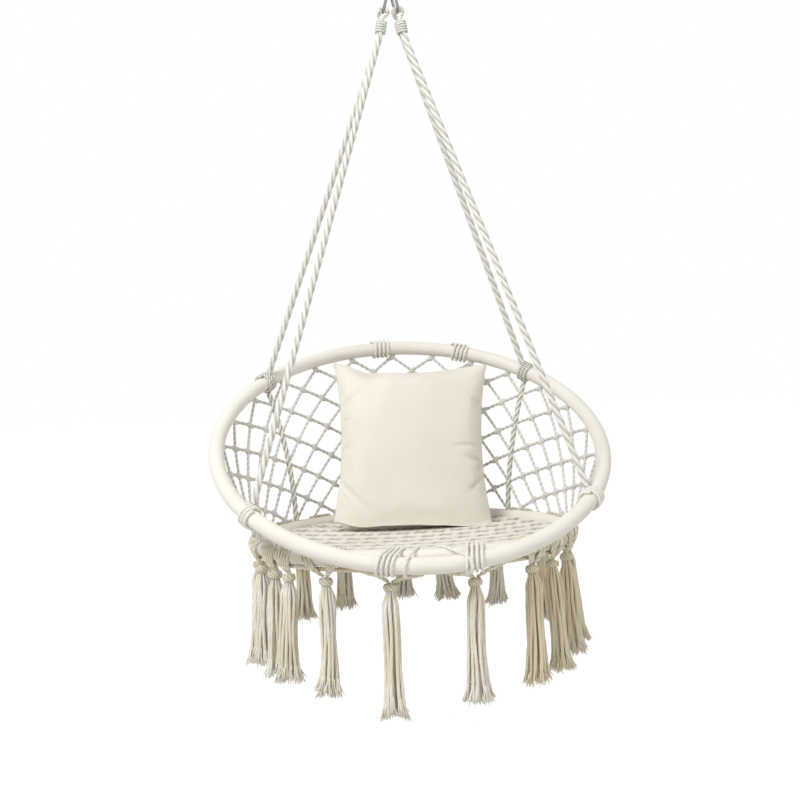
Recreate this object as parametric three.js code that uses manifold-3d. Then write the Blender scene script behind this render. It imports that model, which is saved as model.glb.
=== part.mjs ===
import * as THREE from 'three';
import { mergeVertices } from 'three/addons/utils/BufferGeometryUtils.js';
import Module from 'manifold-3d';

// A hanging saucer chair of knotted cotton: two padded hoops, a net between them, four ropes,
// two rings and a snap hook, a woven seat with a fringe of tassels, and one loose pillow.
// Millimetres, +Z up, front towards -Y. The origin is where the hook bears on what holds it.

const wasm = await Module();
wasm.setup();

// Gap left between pieces that touch, and how far a cutter passes through what it cuts
const fit = 0.3;
const overrun = 2;
const cutterSides = 20;

// Hoops: steel tube in a padded cotton sleeve with a sewn seam
const backHoopOuterDiameter = 800;
const seatHoopOuterDiameter = 650;
const sleeveDiameter = 30;
const hoopTubeDiameter = 22;
const sleeveSeamWidth = 4;
const backHoopTiltDegrees = 31;
const backHoopCentreY = -31;
const backHoopCentreZ = -974;
const seatHoopRiseDegrees = 19;
const hoopSegments = 40;
const sleeveSides = 10;
const tubeSides = 6;

// Snap hook: an oval of round wire with a sprung gate on its right side
const hookWireDiameter = 8;
const hookBendRadius = 16;
const hookStraight = 38;
const gateDiameter = 7;
const gateEndGap = 0.6;
const gatePinDiameter = 2.6;
const gatePivotRise = 10;
const gateShoulderRise = 5;
const tongueThickness = 2.8;
const gateFootRadius = 4.4;
const tongueWidth = 6;
const noseLength = 5;
const hookSides = 10;
const bendSteps = 8;

// Rings that carry the ropes
const ringOuterDiameter = 50;
const ringWireDiameter = 6;
const ringSpreadDegrees = 22;
const ringLeanDegrees = 16;
const ringSegments = 22;
const ringSides = 8;

// Rope eyes, hanging ropes and the wraps that bind each pair
const ropeDiameter = 14;
const eyeCordDiameter = 10;
const eyeSideClearance = 1.5;
const eyeLeanDegrees = 10;
const eyeTwistLength = 14;
const eyeLegLength = 26;
const ropePairGap = 0.6;
const topWrapStart = 19;
const topWrapTurns = 5;
const topWrapCordDiameter = 4;
const ropeBendLength = 30;
const ropeSides = 10;
const eyeSides = 8;
const eyeSteps = 8;

// Net of diamonds between the hoops, and the columns of it where the ropes come down
const netCells = 26;
const rearRopeColumn = 19;
const frontRopeColumn = 8;
const netRowHeight = 32.5;
const netKnotReach = 4.2;
const netCordThickness = 5.5;
const netDraw = 18;
const snapShare = 0.5;

// Knots round the back hoop and the cords that go on down to the seat hoop
const knotCordDiameter = 7;
const knotTurns = 3;
const supportDiameter = 12;
const supportSides = 8;
const supportSteps = 8;

// Lashings, wraps and lacings of thinner cord
const windingGap = 1;
const windingSides = 5;
const windingSteps = 10;
const lashingDegrees = 11;
const lashingTurns = 5;
const lashingCordDiameter = 6;
const backWrapColumns = { left: 26.6, right: 22.6 };
const backWrapTurns = 4;
const lacingDiameter = 5;
const lacingSides = 6;
const lacingColumns = [7, 6, 5, 4];

// Woven seat
const weaveThickness = 9;
const weaveSag = 14;
const weaveDrop = 2;
const weaveRidge = 3;
const weaveRows = 17;
const weaveColumns = 4;
const weaveEndShare = 0.995;

// Fringe
const headerCordDiameter = 9;
const headerSides = 6;
const tasselDegrees = [
  14, 37, 49, 64, 88, 113, 138, 163, 179, 205, 226, 249, 272, 282, 297, 306, 323, 346,
];
const tasselLength = 232;
const tasselFrontExtra = 40;
const tasselKnotDrop = 42;
const tasselKnotHeight = 14;
const tasselKnotDiameter = 26;
const tasselNeckDiameter = 19;
const tasselSkirtDiameter = 34;
const tasselEndDiameter = 40;
const tasselLegDiameter = 7;
const tasselLegSpread = 15;
const tasselSplayDegrees = 4;
const tasselLobes = 5;
const tasselLobeShare = 0.1;
const tasselLegSides = 5;

// Pillow: a filled cover that stands on the seat and leans back
const pillowWidth = 342;
const pillowHeight = 366;
const pillowThickness = 124;
const pillowFootGap = 164;
const pillowTopGap = 56;
const pillowAside = 24;
const pillowDrawShare = 0.055;
const pillowSeamThickness = 5;
const pillowCrownShare = 0.62;
const coverThickness = 1.6;
const zipWidth = 180;
const zipGap = 3;
const pillowSteps = 10;

// Derived sizes
const radians = THREE.MathUtils.degToRad;
const sleeveRadius = sleeveDiameter / 2;
const backHoopRadius = backHoopOuterDiameter / 2 - sleeveRadius;
const seatHoopRadius = seatHoopOuterDiameter / 2 - sleeveRadius;
const tilt = radians(backHoopTiltDegrees);
const columnAngle = Math.PI / netCells;
const ringRadius = (ringOuterDiameter - ringWireDiameter) / 2;
const hookBendCentreTop = hookWireDiameter / 2 - hookBendRadius;
const hookBendCentreBottom = hookBendCentreTop - hookStraight;

// Small helpers

function paint(color, roughness, metalness = 0) {
  return new THREE.MeshStandardMaterial({ color, roughness, metalness });
}

const cotton = () => paint(0xe9e2d2, 0.95);
const cottonRope = () => paint(0xe4dac6, 0.95);
const steel = () => paint(0xb9bcc0, 0.3, 1);
const filling = () => paint(0xf6f4ef, 1);

function piece(name, geometry, material) {
  const mesh = new THREE.Mesh(geometry, material);
  mesh.name = name;
  return mesh;
}

function signedVolume(geometry) {
  const position = geometry.attributes.position;
  const index = geometry.index;
  const count = index ? index.count : position.count;
  const corner = (k) => new THREE.Vector3().fromBufferAttribute(position, index ? index.getX(k) : k);
  let total = 0;
  for (let k = 0; k < count; k += 3) {
    total += corner(k).dot(corner(k + 1).cross(corner(k + 2)));
  }
  return total / 6;
}

// A closed geometry with shared corners and its faces pointing out
function closed(geometry) {
  const bare = geometry.clone();
  bare.deleteAttribute('normal');
  bare.deleteAttribute('uv');
  const merged = mergeVertices(bare);
  if (signedVolume(merged) < 0) {
    const index = merged.index;
    for (let k = 0; k < index.count; k += 3) {
      const kept = index.getX(k);
      index.setX(k, index.getX(k + 1));
      index.setX(k + 1, kept);
    }
  }
  merged.computeVertexNormals();
  return merged;
}

function solid(geometry) {
  const merged = closed(geometry);
  return new wasm.Manifold(new wasm.Mesh({
    numProp: 3,
    vertProperties: new Float32Array(merged.attributes.position.array),
    triVerts: new Uint32Array(merged.index.array),
  }));
}

function fromSolid(body) {
  const mesh = body.getMesh();
  const geometry = new THREE.BufferGeometry();
  geometry.setAttribute('position', new THREE.BufferAttribute(new Float32Array(mesh.vertProperties), 3));
  geometry.setIndex(new THREE.BufferAttribute(new Uint32Array(mesh.triVerts), 1));
  geometry.computeVertexNormals();
  return geometry;
}

// A route through chosen stations. Corners are mitred, and stations stay where they are put.
class Route extends THREE.Curve {
  constructor(stations) {
    super();
    this.stations = stations;
  }

  getPoint(share, target = new THREE.Vector3()) {
    const place = share * (this.stations.length - 1);
    const low = Math.min(Math.floor(place), this.stations.length - 2);
    return target.copy(this.stations[low]).lerp(this.stations[low + 1], place - low);
  }

  getPointAt(share, target) {
    return this.getPoint(share, target);
  }

  getTangentAt(share, target = new THREE.Vector3()) {
    const last = this.stations.length - 1;
    const near = Math.round(share * last);
    const here = this.stations[near];
    const before = this.stations[Math.max(near - 1, 0)];
    const after = this.stations[Math.min(near + 1, last)];
    const arriving = here.clone().sub(before).normalize();
    const leaving = after.clone().sub(here).normalize();
    return target.copy(arriving).add(leaving).normalize();
  }
}

function polygon(diameter, sides) {
  const corners = [];
  for (let k = 0; k < sides; k += 1) {
    const angle = (2 * Math.PI * k) / sides;
    corners.push(new THREE.Vector2(Math.cos(angle), Math.sin(angle)).multiplyScalar(diameter / 2));
  }
  return new THREE.Shape(corners);
}

function tube(stations, diameter, sides) {
  return closed(new THREE.ExtrudeGeometry(polygon(diameter, sides), {
    steps: stations.length - 1,
    extrudePath: new Route(stations),
    bevelEnabled: false,
  }));
}

function bar(diameter, length, sides) {
  return new THREE.CylinderGeometry(diameter / 2, diameter / 2, length, sides);
}

// The line along a hoop's middle. Angles run from the front round by the right side, and the
// line has straight facets, so that whatever sits on a hoop follows its surface.
class Hoop {
  constructor(centre, radius, tiltAngle) {
    this.centre = centre;
    this.radius = radius;
    this.tiltAngle = tiltAngle;
  }

  outward(angle) {
    const back = -Math.cos(angle);
    return new THREE.Vector3(Math.sin(angle), back * Math.cos(this.tiltAngle), back * Math.sin(this.tiltAngle));
  }

  tangent(angle) {
    const rise = Math.sin(angle);
    return new THREE.Vector3(Math.cos(angle), rise * Math.cos(this.tiltAngle), rise * Math.sin(this.tiltAngle));
  }

  point(angle) {
    const facet = (2 * Math.PI) / hoopSegments;
    const fromMiddle = angle - facet * (Math.floor(angle / facet) + 1 / 2);
    const reach = (this.radius * Math.cos(facet / 2)) / Math.cos(fromMiddle);
    return this.outward(angle).multiplyScalar(reach).add(this.centre);
  }
}

const backHoop = new Hoop(
  new THREE.Vector3(0, backHoopCentreY, backHoopCentreZ),
  backHoopRadius,
  tilt,
);

// The seat hoop is level, and its front lies against the back hoop's front
function seatHoopCentre() {
  const rise = radians(seatHoopRiseDegrees);
  const apart = sleeveDiameter + fit;
  const centre = backHoop.point(0);
  centre.y += apart * Math.cos(rise) + seatHoopRadius;
  centre.z += apart * Math.sin(rise);
  return centre;
}

const seatHoop = new Hoop(seatHoopCentre(), seatHoopRadius, 0);

// Hoops

// Revolves a closed section of [reach from the middle circle, height] round the vertical
function revolved(radius, section, segments) {
  const points = section.map(([reach, height]) => new THREE.Vector2(radius + reach, height));
  points.push(points[0].clone());
  const geometry = new THREE.LatheGeometry(points, segments);
  geometry.rotateX(Math.PI / 2);
  return closed(geometry);
}

function roundSection(diameter, sides) {
  const section = [];
  for (let k = 0; k < sides; k += 1) {
    const angle = (2 * Math.PI * (k + 1 / 2)) / sides;
    section.push([(diameter / 2) * Math.cos(angle), (diameter / 2) * Math.sin(angle)]);
  }
  return section;
}

// Points round a hoop's section from one edge of the sleeve's seam to the other
function roundFromSeam(radius, sides) {
  const seam = Math.asin(sleeveSeamWidth / sleeveDiameter);
  const points = [];
  for (let k = 0; k <= sides; k += 1) {
    const angle = -Math.PI / 2 + seam + (2 * (Math.PI - seam) * k) / sides;
    points.push([radius * Math.cos(angle), radius * Math.sin(angle)]);
  }
  return points;
}

// The sleeve is a long strip sewn up round the steel, so its section stays open at the seam
function sleeveSection() {
  const lining = roundFromSeam(hoopTubeDiameter / 2 + fit, tubeSides);
  return [...roundFromSeam(sleeveRadius, sleeveSides), ...lining.reverse()];
}

function hoopPieces(name, hoop) {
  const group = new THREE.Group();
  const tubeSection = roundFromSeam(hoopTubeDiameter / 2, tubeSides);
  group.add(piece(`${name}_tube`, revolved(hoop.radius, tubeSection, hoopSegments), steel()));
  group.add(piece(`${name}_sleeve`, revolved(hoop.radius, sleeveSection(), hoopSegments), cotton()));
  group.position.copy(hoop.centre);
  group.rotation.x = hoop.tiltAngle;
  return group;
}

// Windings

// The line round two circles whose centres lie a span apart, as a share of one lap
function lapPoint({ centre, along, axis, span }, radius, share) {
  const across = new THREE.Vector3().crossVectors(axis, along).normalize();
  const arc = Math.PI * radius;
  const at = (sideways, lengthways) => centre.clone()
    .addScaledVector(across, sideways)
    .addScaledVector(along, lengthways);
  const run = (share - Math.floor(share)) * 2 * (span + arc);
  const half = span / 2;
  if (run < half) {
    return at(radius, run);
  }
  if (run < half + arc) {
    const angle = (run - half) / radius;
    return at(radius * Math.cos(angle), half + radius * Math.sin(angle));
  }
  if (run < half + arc + span) {
    return at(-radius, half - (run - half - arc));
  }
  if (run < half + arc + span + arc) {
    const angle = (run - half - arc - span) / radius;
    return at(-radius * Math.cos(angle), -half - radius * Math.sin(angle));
  }
  return at(radius, run - 2 * (span + arc));
}

// How far out a winding's own middle line runs, so that its chords clear what it goes round
function windingRadius(coreRadius, span, cordDiameter) {
  const clear = coreRadius + fit + cordDiameter / 2;
  return clear / Math.cos(Math.PI / windingSteps + span / (windingSteps * clear));
}

const pitchOf = (cordDiameter) => cordDiameter + windingGap;
const widthOf = (cordDiameter, turns) => turns * pitchOf(cordDiameter) + cordDiameter;

// One unbroken cord wound round the frame that frameAt gives for each offset along the core
function winding({ name, frameAt, coreRadius, cordDiameter, turns }, material) {
  const radius = windingRadius(coreRadius, frameAt(0).span, cordDiameter);
  const count = turns * windingSteps;
  const stations = [];
  for (let k = 0; k <= count; k += 1) {
    const lap = k / windingSteps;
    stations.push(lapPoint(frameAt((lap - turns / 2) * pitchOf(cordDiameter)), radius, lap));
  }
  reportSelfGap(name, stations, cordDiameter);
  return piece(name, tube(stations, cordDiameter, windingSides), material);
}

function reportSelfGap(name, stations, diameter) {
  let least = Infinity;
  const skip = Math.round(windingSteps / 2);
  for (let a = 0; a < stations.length; a += 1) {
    for (let b = a + skip; b < stations.length; b += 1) {
      least = Math.min(least, stations[a].distanceTo(stations[b]) - diameter);
    }
  }
  console.log(`${name}: least gap to itself ${least.toFixed(2)} mm`);
}

// A frame that follows a hoop
function frameOnHoop(hoop, angle) {
  return (offset) => {
    const here = angle + offset / hoop.radius;
    return { centre: hoop.point(here), along: hoop.outward(here), axis: hoop.tangent(here), span: 0 };
  };
}

// The part of a solid that a hoop's sleeve or wrapping of some outer radius leaves free
function seatedOn(body, hoop, outerRadius, sides) {
  const ring = revolved(hoop.radius, roundFromSeam(outerRadius + fit, sides), hoopSegments);
  ring.rotateX(hoop.tiltAngle);
  ring.translate(...hoop.centre.toArray());
  return body.subtract(solid(ring));
}

// Snap hook

function hookStations() {
  const stations = [];
  const x = hookBendRadius;
  const noseZ = hookBendCentreTop - noseLength;
  stations.push(new THREE.Vector3(x, 0, noseZ));
  for (let k = 0; k <= bendSteps; k += 1) {
    const angle = (Math.PI * k) / bendSteps;
    stations.push(new THREE.Vector3(x * Math.cos(angle), 0, hookBendCentreTop + x * Math.sin(angle)));
  }
  for (let k = 0; k <= bendSteps; k += 1) {
    const angle = Math.PI + (Math.PI * k) / bendSteps;
    stations.push(new THREE.Vector3(x * Math.cos(angle), 0, hookBendCentreBottom + x * Math.sin(angle)));
  }
  stations.push(new THREE.Vector3(x, 0, hookBendCentreBottom + gateShoulderRise));
  return stations;
}

const gatePivot = new THREE.Vector3(hookBendRadius, 0, hookBendCentreBottom + gatePivotRise);
const gateTopZ = hookBendCentreTop - noseLength - gateEndGap;

function acrossPivot(diameter, length) {
  const cylinder = bar(diameter, length, cutterSides);
  cylinder.translate(...gatePivot.toArray());
  return solid(cylinder);
}

// A block centred on the pivot's line, from one height to another
function blockAtPivot(width, thickness, fromZ, toZ) {
  const block = new THREE.BoxGeometry(width, thickness, toZ - fromZ);
  block.translate(gatePivot.x, 0, (fromZ + toZ) / 2);
  return solid(block);
}

// Round wire bent to an oval. At the gate's foot it is flattened to a round-headed tongue.
function hookBody() {
  const wire = solid(tube(hookStations(), hookWireDiameter, hookSides));
  const shoulder = hookBendCentreBottom + gateShoulderRise;
  const neck = blockAtPivot(tongueWidth, tongueThickness, shoulder - overrun, gatePivot.z);
  const head = acrossPivot(tongueWidth, tongueThickness);
  const hole = acrossPivot(gatePinDiameter + 2 * fit, tongueThickness + overrun);
  return fromSolid(wire.add(neck).add(head).subtract(hole));
}

// The gate's foot is a round-ended fork that straddles the tongue
function gateGeometry() {
  const foot = gatePivot.z - gateFootRadius;
  const stem = bar(gateDiameter, gateTopZ - foot, hookSides);
  stem.rotateX(Math.PI / 2);
  stem.translate(gatePivot.x, 0, (gateTopZ + foot) / 2);
  const upper = blockAtPivot(2 * gateDiameter, 2 * gateDiameter, gatePivot.z, gateTopZ + overrun);
  const rounded = solid(stem).intersect(upper.add(acrossPivot(2 * gateFootRadius, 2 * gateDiameter)));
  const slotTop = gatePivot.z + tongueWidth / 2 + gateEndGap;
  const slot = blockAtPivot(2 * gateDiameter, tongueThickness + 2 * fit, foot - overrun, slotTop);
  const hole = acrossPivot(gatePinDiameter + 2 * fit, gateDiameter + overrun);
  return fromSolid(rounded.subtract(slot).subtract(hole));
}

function gatePin() {
  const pin = bar(gatePinDiameter, gateDiameter, hookSides);
  pin.translate(gatePivot.x, 0, gatePivot.z);
  return closed(pin);
}

function snapHook() {
  const group = new THREE.Group();
  group.add(piece('hook_body', hookBody(), steel()));
  group.add(piece('hook_gate', gateGeometry(), steel()));
  group.add(piece('gate_pin', gatePin(), steel()));
  return group;
}

// Rings

const ringSpread = radians(ringSpreadDegrees);
const ringLean = radians(ringLeanDegrees);

function ringTop(side) {
  const bend = hookBendRadius * Math.cos(Math.PI / bendSteps / 2);
  const reach = bend - hookWireDiameter / 2 - fit - ringWireDiameter / 2;
  return new THREE.Vector3(
    side * reach * Math.sin(ringSpread),
    0,
    hookBendCentreBottom - reach * Math.cos(ringSpread),
  );
}

function ringDown(side) {
  return new THREE.Vector3(side * Math.sin(ringLean), 0, -Math.cos(ringLean));
}

function ringCentre(side) {
  return ringTop(side).addScaledVector(ringDown(side), ringRadius);
}

function ringBottom(side) {
  return ringTop(side).addScaledVector(ringDown(side), 2 * ringRadius);
}

function ring(name, side) {
  const section = roundSection(ringWireDiameter, ringSides);
  const mesh = piece(name, revolved(ringRadius, section, ringSegments), steel());
  mesh.position.copy(ringCentre(side));
  mesh.rotation.y = Math.PI / 2 - side * ringLean;
  return mesh;
}

// Rope eyes and top wraps

function eyeAxis(side) {
  const lean = radians(eyeLeanDegrees);
  return new THREE.Vector3(side * Math.sin(lean), 0, -Math.cos(lean));
}

function eyeAcross(side) {
  const lean = radians(eyeLeanDegrees);
  return new THREE.Vector3(Math.cos(lean), 0, side * Math.sin(lean));
}

const forward = new THREE.Vector3(0, -1, 0);
const legOffset = (ropeDiameter + ropePairGap) / 2;

// One leg below the ring: it turns a quarter round from beside the ring's wire to front or rear
function eyeLeg(side, turn) {
  const half = ringWireDiameter / 2 + eyeSideClearance + eyeCordDiameter / 2;
  const stations = [];
  for (const share of [0, 0.5, 1]) {
    const angle = (share * Math.PI) / 2;
    const reach = half + (legOffset - half) * share;
    stations.push(ringBottom(side)
      .addScaledVector(eyeAxis(side), share * eyeTwistLength)
      .addScaledVector(eyeAcross(side), turn * reach * Math.cos(angle))
      .addScaledVector(forward, turn * reach * Math.sin(angle)));
  }
  stations.push(ringBottom(side)
    .addScaledVector(eyeAxis(side), eyeLegLength)
    .addScaledVector(forward, turn * legOffset));
  return stations;
}

function ropeEye(side) {
  const half = ringWireDiameter / 2 + eyeSideClearance + eyeCordDiameter / 2;
  const top = ringWireDiameter / 2 + fit + eyeCordDiameter / 2;
  const over = [];
  for (let k = 1; k < eyeSteps; k += 1) {
    const angle = (Math.PI * k) / eyeSteps;
    over.push(ringBottom(side)
      .addScaledVector(eyeAcross(side), half * Math.cos(angle))
      .addScaledVector(eyeAxis(side), -top * Math.sin(angle)));
  }
  const stations = [...eyeLeg(side, 1).reverse(), ...over, ...eyeLeg(side, -1)];
  return tube(stations, eyeCordDiameter, eyeSides);
}

// The wrap that binds the eye's legs and the two ropes below them
function topWrap(name, side) {
  const middle = topWrapStart + (topWrapTurns * pitchOf(topWrapCordDiameter)) / 2;
  const frameAt = (offset) => ({
    centre: ringBottom(side).addScaledVector(eyeAxis(side), middle + offset),
    along: forward,
    axis: eyeAxis(side),
    span: 2 * legOffset,
  });
  return winding({
    name,
    frameAt,
    coreRadius: ropeDiameter / 2,
    cordDiameter: topWrapCordDiameter,
    turns: topWrapTurns,
  }, cottonRope());
}

// Hanging ropes

function columnOf(side, place) {
  const column = place === 'front' ? frontRopeColumn : rearRopeColumn;
  return side * column * columnAngle;
}

const knotOuterRadius = windingRadius(sleeveRadius, 0, knotCordDiameter) + knotCordDiameter / 2;
const knotHullRadius = knotOuterRadius / Math.cos(Math.PI / cutterSides);

function hangingRope(side, place) {
  const turn = place === 'front' ? 1 : -1;
  const angle = columnOf(side, place);
  const start = ringBottom(side)
    .addScaledVector(eyeAxis(side), eyeLegLength + fit)
    .addScaledVector(forward, turn * legOffset);
  const wrapEnd = topWrapStart + widthOf(topWrapCordDiameter, topWrapTurns);
  const bend = start.clone().addScaledVector(eyeAxis(side), wrapEnd - eyeLegLength);
  const end = backHoop.point(angle);
  const line = end.clone().sub(bend).normalize();
  const stations = [
    start,
    bend,
    bend.clone().addScaledVector(line, ropeBendLength),
    bend.clone().lerp(end, 1 / 2),
    end,
  ];
  const rope = solid(tube(stations, ropeDiameter, ropeSides));
  return fromSolid(seatedOn(rope, backHoop, knotHullRadius, cutterSides));
}

function hoopKnot(name, side, place) {
  return winding({
    name,
    frameAt: frameOnHoop(backHoop, columnOf(side, place)),
    coreRadius: sleeveRadius,
    cordDiameter: knotCordDiameter,
    turns: knotTurns,
  }, cottonRope());
}

// Net

function netDirection(angle) {
  return seatHoop.point(angle).sub(backHoop.point(angle)).normalize();
}

// From a hoop's middle to the middle of a knot that touches its sleeve, along the net
function netEdge(hoop, angle) {
  const slant = hoop.tangent(angle).angleTo(netDirection(angle));
  return (sleeveRadius + fit) / Math.sin(slant) + netKnotReach;
}

function netHeight(angle) {
  const whole = seatHoop.point(angle).distanceTo(backHoop.point(angle));
  return whole - netEdge(backHoop, angle) - netEdge(seatHoop, angle);
}

// A place on the net: its cords pull it in between the hoops, most where it is tallest
function netPoint(angle, share) {
  const bow = netDraw * 4 * share * (1 - share) * (netHeight(angle) / netHeight(Math.PI));
  return backHoop.point(angle)
    .addScaledVector(netDirection(angle), netEdge(backHoop, angle) + share * netHeight(angle))
    .addScaledVector(seatHoop.outward(angle), -bow);
}

// Gathers corners and faces of one net panel
class NetMesh {
  constructor() {
    this.corners = [];
    this.faces = [];
  }

  corner(point) {
    this.corners.push(point.x, point.y, point.z);
    return this.corners.length / 3 - 1;
  }

  quad(a, b, c, d) {
    this.faces.push(a, b, c, a, c, d);
  }

  // Four walls between two rings of four corners
  walls(from, to) {
    for (let k = 0; k < 4; k += 1) {
      const next = (k + 1) % 4;
      this.quad(from[k], from[next], to[next], to[k]);
    }
  }

  point(index) {
    return new THREE.Vector3().fromArray(this.corners, 3 * index);
  }

  // A cord that leaves a knot's face and ends in a flat cut at a point
  stub(from, end) {
    const middle = new THREE.Vector3();
    from.forEach((index) => middle.add(this.point(index)));
    middle.divideScalar(4);
    const shift = end.clone().sub(middle);
    const to = from.map((index) => this.corner(this.point(index).add(shift)));
    this.walls(from, to);
    this.quad(...to);
  }

  geometry() {
    const geometry = new THREE.BufferGeometry();
    geometry.setAttribute('position', new THREE.BufferAttribute(new Float32Array(this.corners), 3));
    geometry.setIndex(this.faces);
    return closed(geometry);
  }
}

// The four faces of a knot: which two corners each lies between, and the way it looks
const knotFaces = [
  { name: 'upRight', from: 'up', to: 'right', column: 1, row: -1 },
  { name: 'downRight', from: 'right', to: 'down', column: 1, row: 1 },
  { name: 'downLeft', from: 'down', to: 'left', column: -1, row: 1 },
  { name: 'upLeft', from: 'left', to: 'up', column: -1, row: -1 },
];
const faceAcross = { downRight: 'upLeft', downLeft: 'upRight' };

// Half the width of what a column's rope puts in the net's way: a knot on the hoop or a support
function edgeWidth(row) {
  return row === 0 ? widthOf(knotCordDiameter, knotTurns) / 2 : supportDiameter / 2;
}

// Diamonds between two columns where ropes run. Rows are counted down from the back hoop.
function netPanel(firstColumn, lastColumn) {
  const mesh = new NetMesh();
  const angleOf = (column) => column * columnAngle;
  const left = (column, row) => netHeight(angleOf(column)) - row * netRowHeight;
  const onEdge = (column) => column === firstColumn || column === lastColumn;
  const snap = snapShare * netRowHeight;
  const knots = new Map();
  const keyOf = (column, row) => `${column},${row}`;

  function addKnot(column, row) {
    const angle = angleOf(column);
    const onSeat = row > 0 && left(column, row) < snap;
    const share = onSeat ? 1 : (row * netRowHeight) / netHeight(angle);
    const place = netPoint(angle, share);
    const step = columnAngle / netCells;
    const down = netPoint(angle, share + snap / netHeight(angle) / netCells).sub(place).normalize();
    const right = netPoint(angle + step, share).sub(place).normalize();
    const out = new THREE.Vector3().crossVectors(right, down).negate();
    const at = (along, amount, lift) => mesh.corner(place.clone()
      .addScaledVector(along, amount)
      .addScaledVector(out, lift * (netCordThickness / 2)));
    const corners = {};
    const ways = { up: [down, -1], right: [right, 1], down: [down, 1], left: [right, -1] };
    for (const [name, [along, sign]] of Object.entries(ways)) {
      corners[name] = [at(along, sign * netKnotReach, 1), at(along, sign * netKnotReach, -1)];
    }
    mesh.quad(corners.up[0], corners.left[0], corners.down[0], corners.right[0]);
    mesh.quad(corners.up[1], corners.right[1], corners.down[1], corners.left[1]);
    const ringOf = (from, to) => [corners[from][0], corners[to][0], corners[to][1], corners[from][1]];
    const rings = {};
    knotFaces.forEach((face) => {
      rings[face.name] = ringOf(face.from, face.to);
    });
    knots.set(keyOf(column, row), { column, row, place, onSeat, rings });
  }

  for (let column = firstColumn + 1; column < lastColumn; column += 1) {
    for (let row = Math.abs(column % 2); left(column, row) > -snap; row += 2) {
      addKnot(column, row);
    }
  }

  // Where a cord stops that meets a rope or the seat hoop before the next knot
  function endOf(knot, face) {
    const column = knot.column + face.column;
    const row = knot.row + face.row;
    const here = left(knot.column, knot.row);
    const there = left(column, row);
    let reach = 1;
    if (onEdge(column)) {
      const angle = angleOf(column);
      const away = netPoint(angle, Math.min((row * netRowHeight) / netHeight(angle), 1)).sub(knot.place);
      const apart = away.projectOnPlane(netDirection(angle)).length();
      reach -= (edgeWidth(row) + 2 * fit + netKnotReach / 2) / apart;
    }
    if (there < 0) {
      reach = Math.min(reach, here / (here - there));
    }
    const angle = angleOf(knot.column + reach * face.column);
    const depth = (knot.row + reach * face.row) * netRowHeight;
    return netPoint(angle, Math.min(depth / netHeight(angle), 1));
  }

  knots.forEach((knot) => {
    knotFaces.forEach((face) => {
      const ringHere = knot.rings[face.name];
      const neighbour = knots.get(keyOf(knot.column + face.column, knot.row + face.row));
      const bothOnSeat = neighbour && neighbour.onSeat && knot.onSeat;
      if (neighbour && !bothOnSeat) {
        if (face.row > 0) {
          mesh.walls(ringHere, matching(neighbour.rings[faceAcross[face.name]]));
        }
        return;
      }
      const blocked = bothOnSeat || knot.row + face.row < 0 || (knot.onSeat && face.row > 0);
      if (blocked) {
        mesh.quad(...ringHere);
      } else {
        mesh.stub(ringHere, endOf(knot, face));
      }
    });
  });
  return mesh.geometry();
}

// The far face is met from outside, so its corners are taken the other way round
function matching(ringThere) {
  return [ringThere[1], ringThere[0], ringThere[3], ringThere[2]];
}

// Supports from the knots down to the seat hoop, along the net's columns
function support(side, place) {
  const angle = columnOf(side, place);
  const beyond = netKnotReach / netHeight(angle);
  const stations = [];
  for (let k = 0; k <= supportSteps; k += 1) {
    stations.push(netPoint(angle, -beyond + ((1 + 2 * beyond) * k) / supportSteps));
  }
  stations[0].addScaledVector(netDirection(angle), -netKnotReach);
  stations[supportSteps].addScaledVector(netDirection(angle), supportDiameter);
  const whole = solid(tube(stations, supportDiameter, supportSides));
  const knotted = seatedOn(whole, backHoop, knotHullRadius, cutterSides);
  return fromSolid(seatedOn(knotted, seatHoop, sleeveRadius, sleeveSides));
}

function net() {
  const group = new THREE.Group();
  const whole = 2 * netCells;
  group.add(piece('back_net', netPanel(rearRopeColumn, whole - rearRopeColumn), cotton()));
  group.add(piece('right_net', netPanel(frontRopeColumn, rearRopeColumn), cotton()));
  group.add(piece('left_net', netPanel(-rearRopeColumn, -frontRopeColumn), cotton()));
  return group;
}

// A cord that zigzags between the hoops where they are too near for diamonds
function lacing(side) {
  const angles = lacingColumns.map((column) => side * column * columnAngle);
  const last = angles.length - 1;
  const stations = angles.map((angle, k) => {
    const beyond = (netKnotReach - lacingDiameter / 2) / netHeight(angle);
    return netPoint(angle, k % 2 === 0 ? 0 : 1 + beyond);
  });
  stations[0].copy(backHoop.point(angles[0]));
  stations[last].copy(seatHoop.point(angles[last]));
  const cord = solid(tube(stations, lacingDiameter, lacingSides));
  const atBack = seatedOn(cord, backHoop, sleeveRadius, sleeveSides);
  return fromSolid(seatedOn(atBack, seatHoop, sleeveRadius, sleeveSides));
}

// Lashings bind both hoops at the front, and short wraps sit at the back
function lashingFrame(side) {
  return (offset) => {
    const here = side * radians(lashingDegrees) + offset / backHoop.radius;
    const below = backHoop.point(here);
    const above = seatHoop.point(Math.asin(below.x / seatHoop.radius));
    const along = above.clone().sub(below);
    const span = along.length();
    return { centre: below.lerp(above, 1 / 2), along: along.normalize(), axis: backHoop.tangent(here), span };
  };
}

function frontLashing(name, side) {
  return winding({
    name,
    frameAt: lashingFrame(side),
    coreRadius: sleeveRadius + fit,
    cordDiameter: lashingCordDiameter,
    turns: lashingTurns,
  }, cotton());
}

function backWrap(name, word) {
  return winding({
    name,
    frameAt: frameOnHoop(backHoop, backWrapColumns[word] * columnAngle),
    coreRadius: sleeveRadius,
    cordDiameter: lashingCordDiameter,
    turns: backWrapTurns,
  }, cotton());
}

const lashingOuterRadius = windingRadius(sleeveRadius + fit, lashingFrame(1)(0).span, lashingCordDiameter)
  + lashingCordDiameter / 2;
const lashingSeatAngle = Math.asin(backHoop.point(radians(lashingDegrees)).x / seatHoop.radius);

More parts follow.
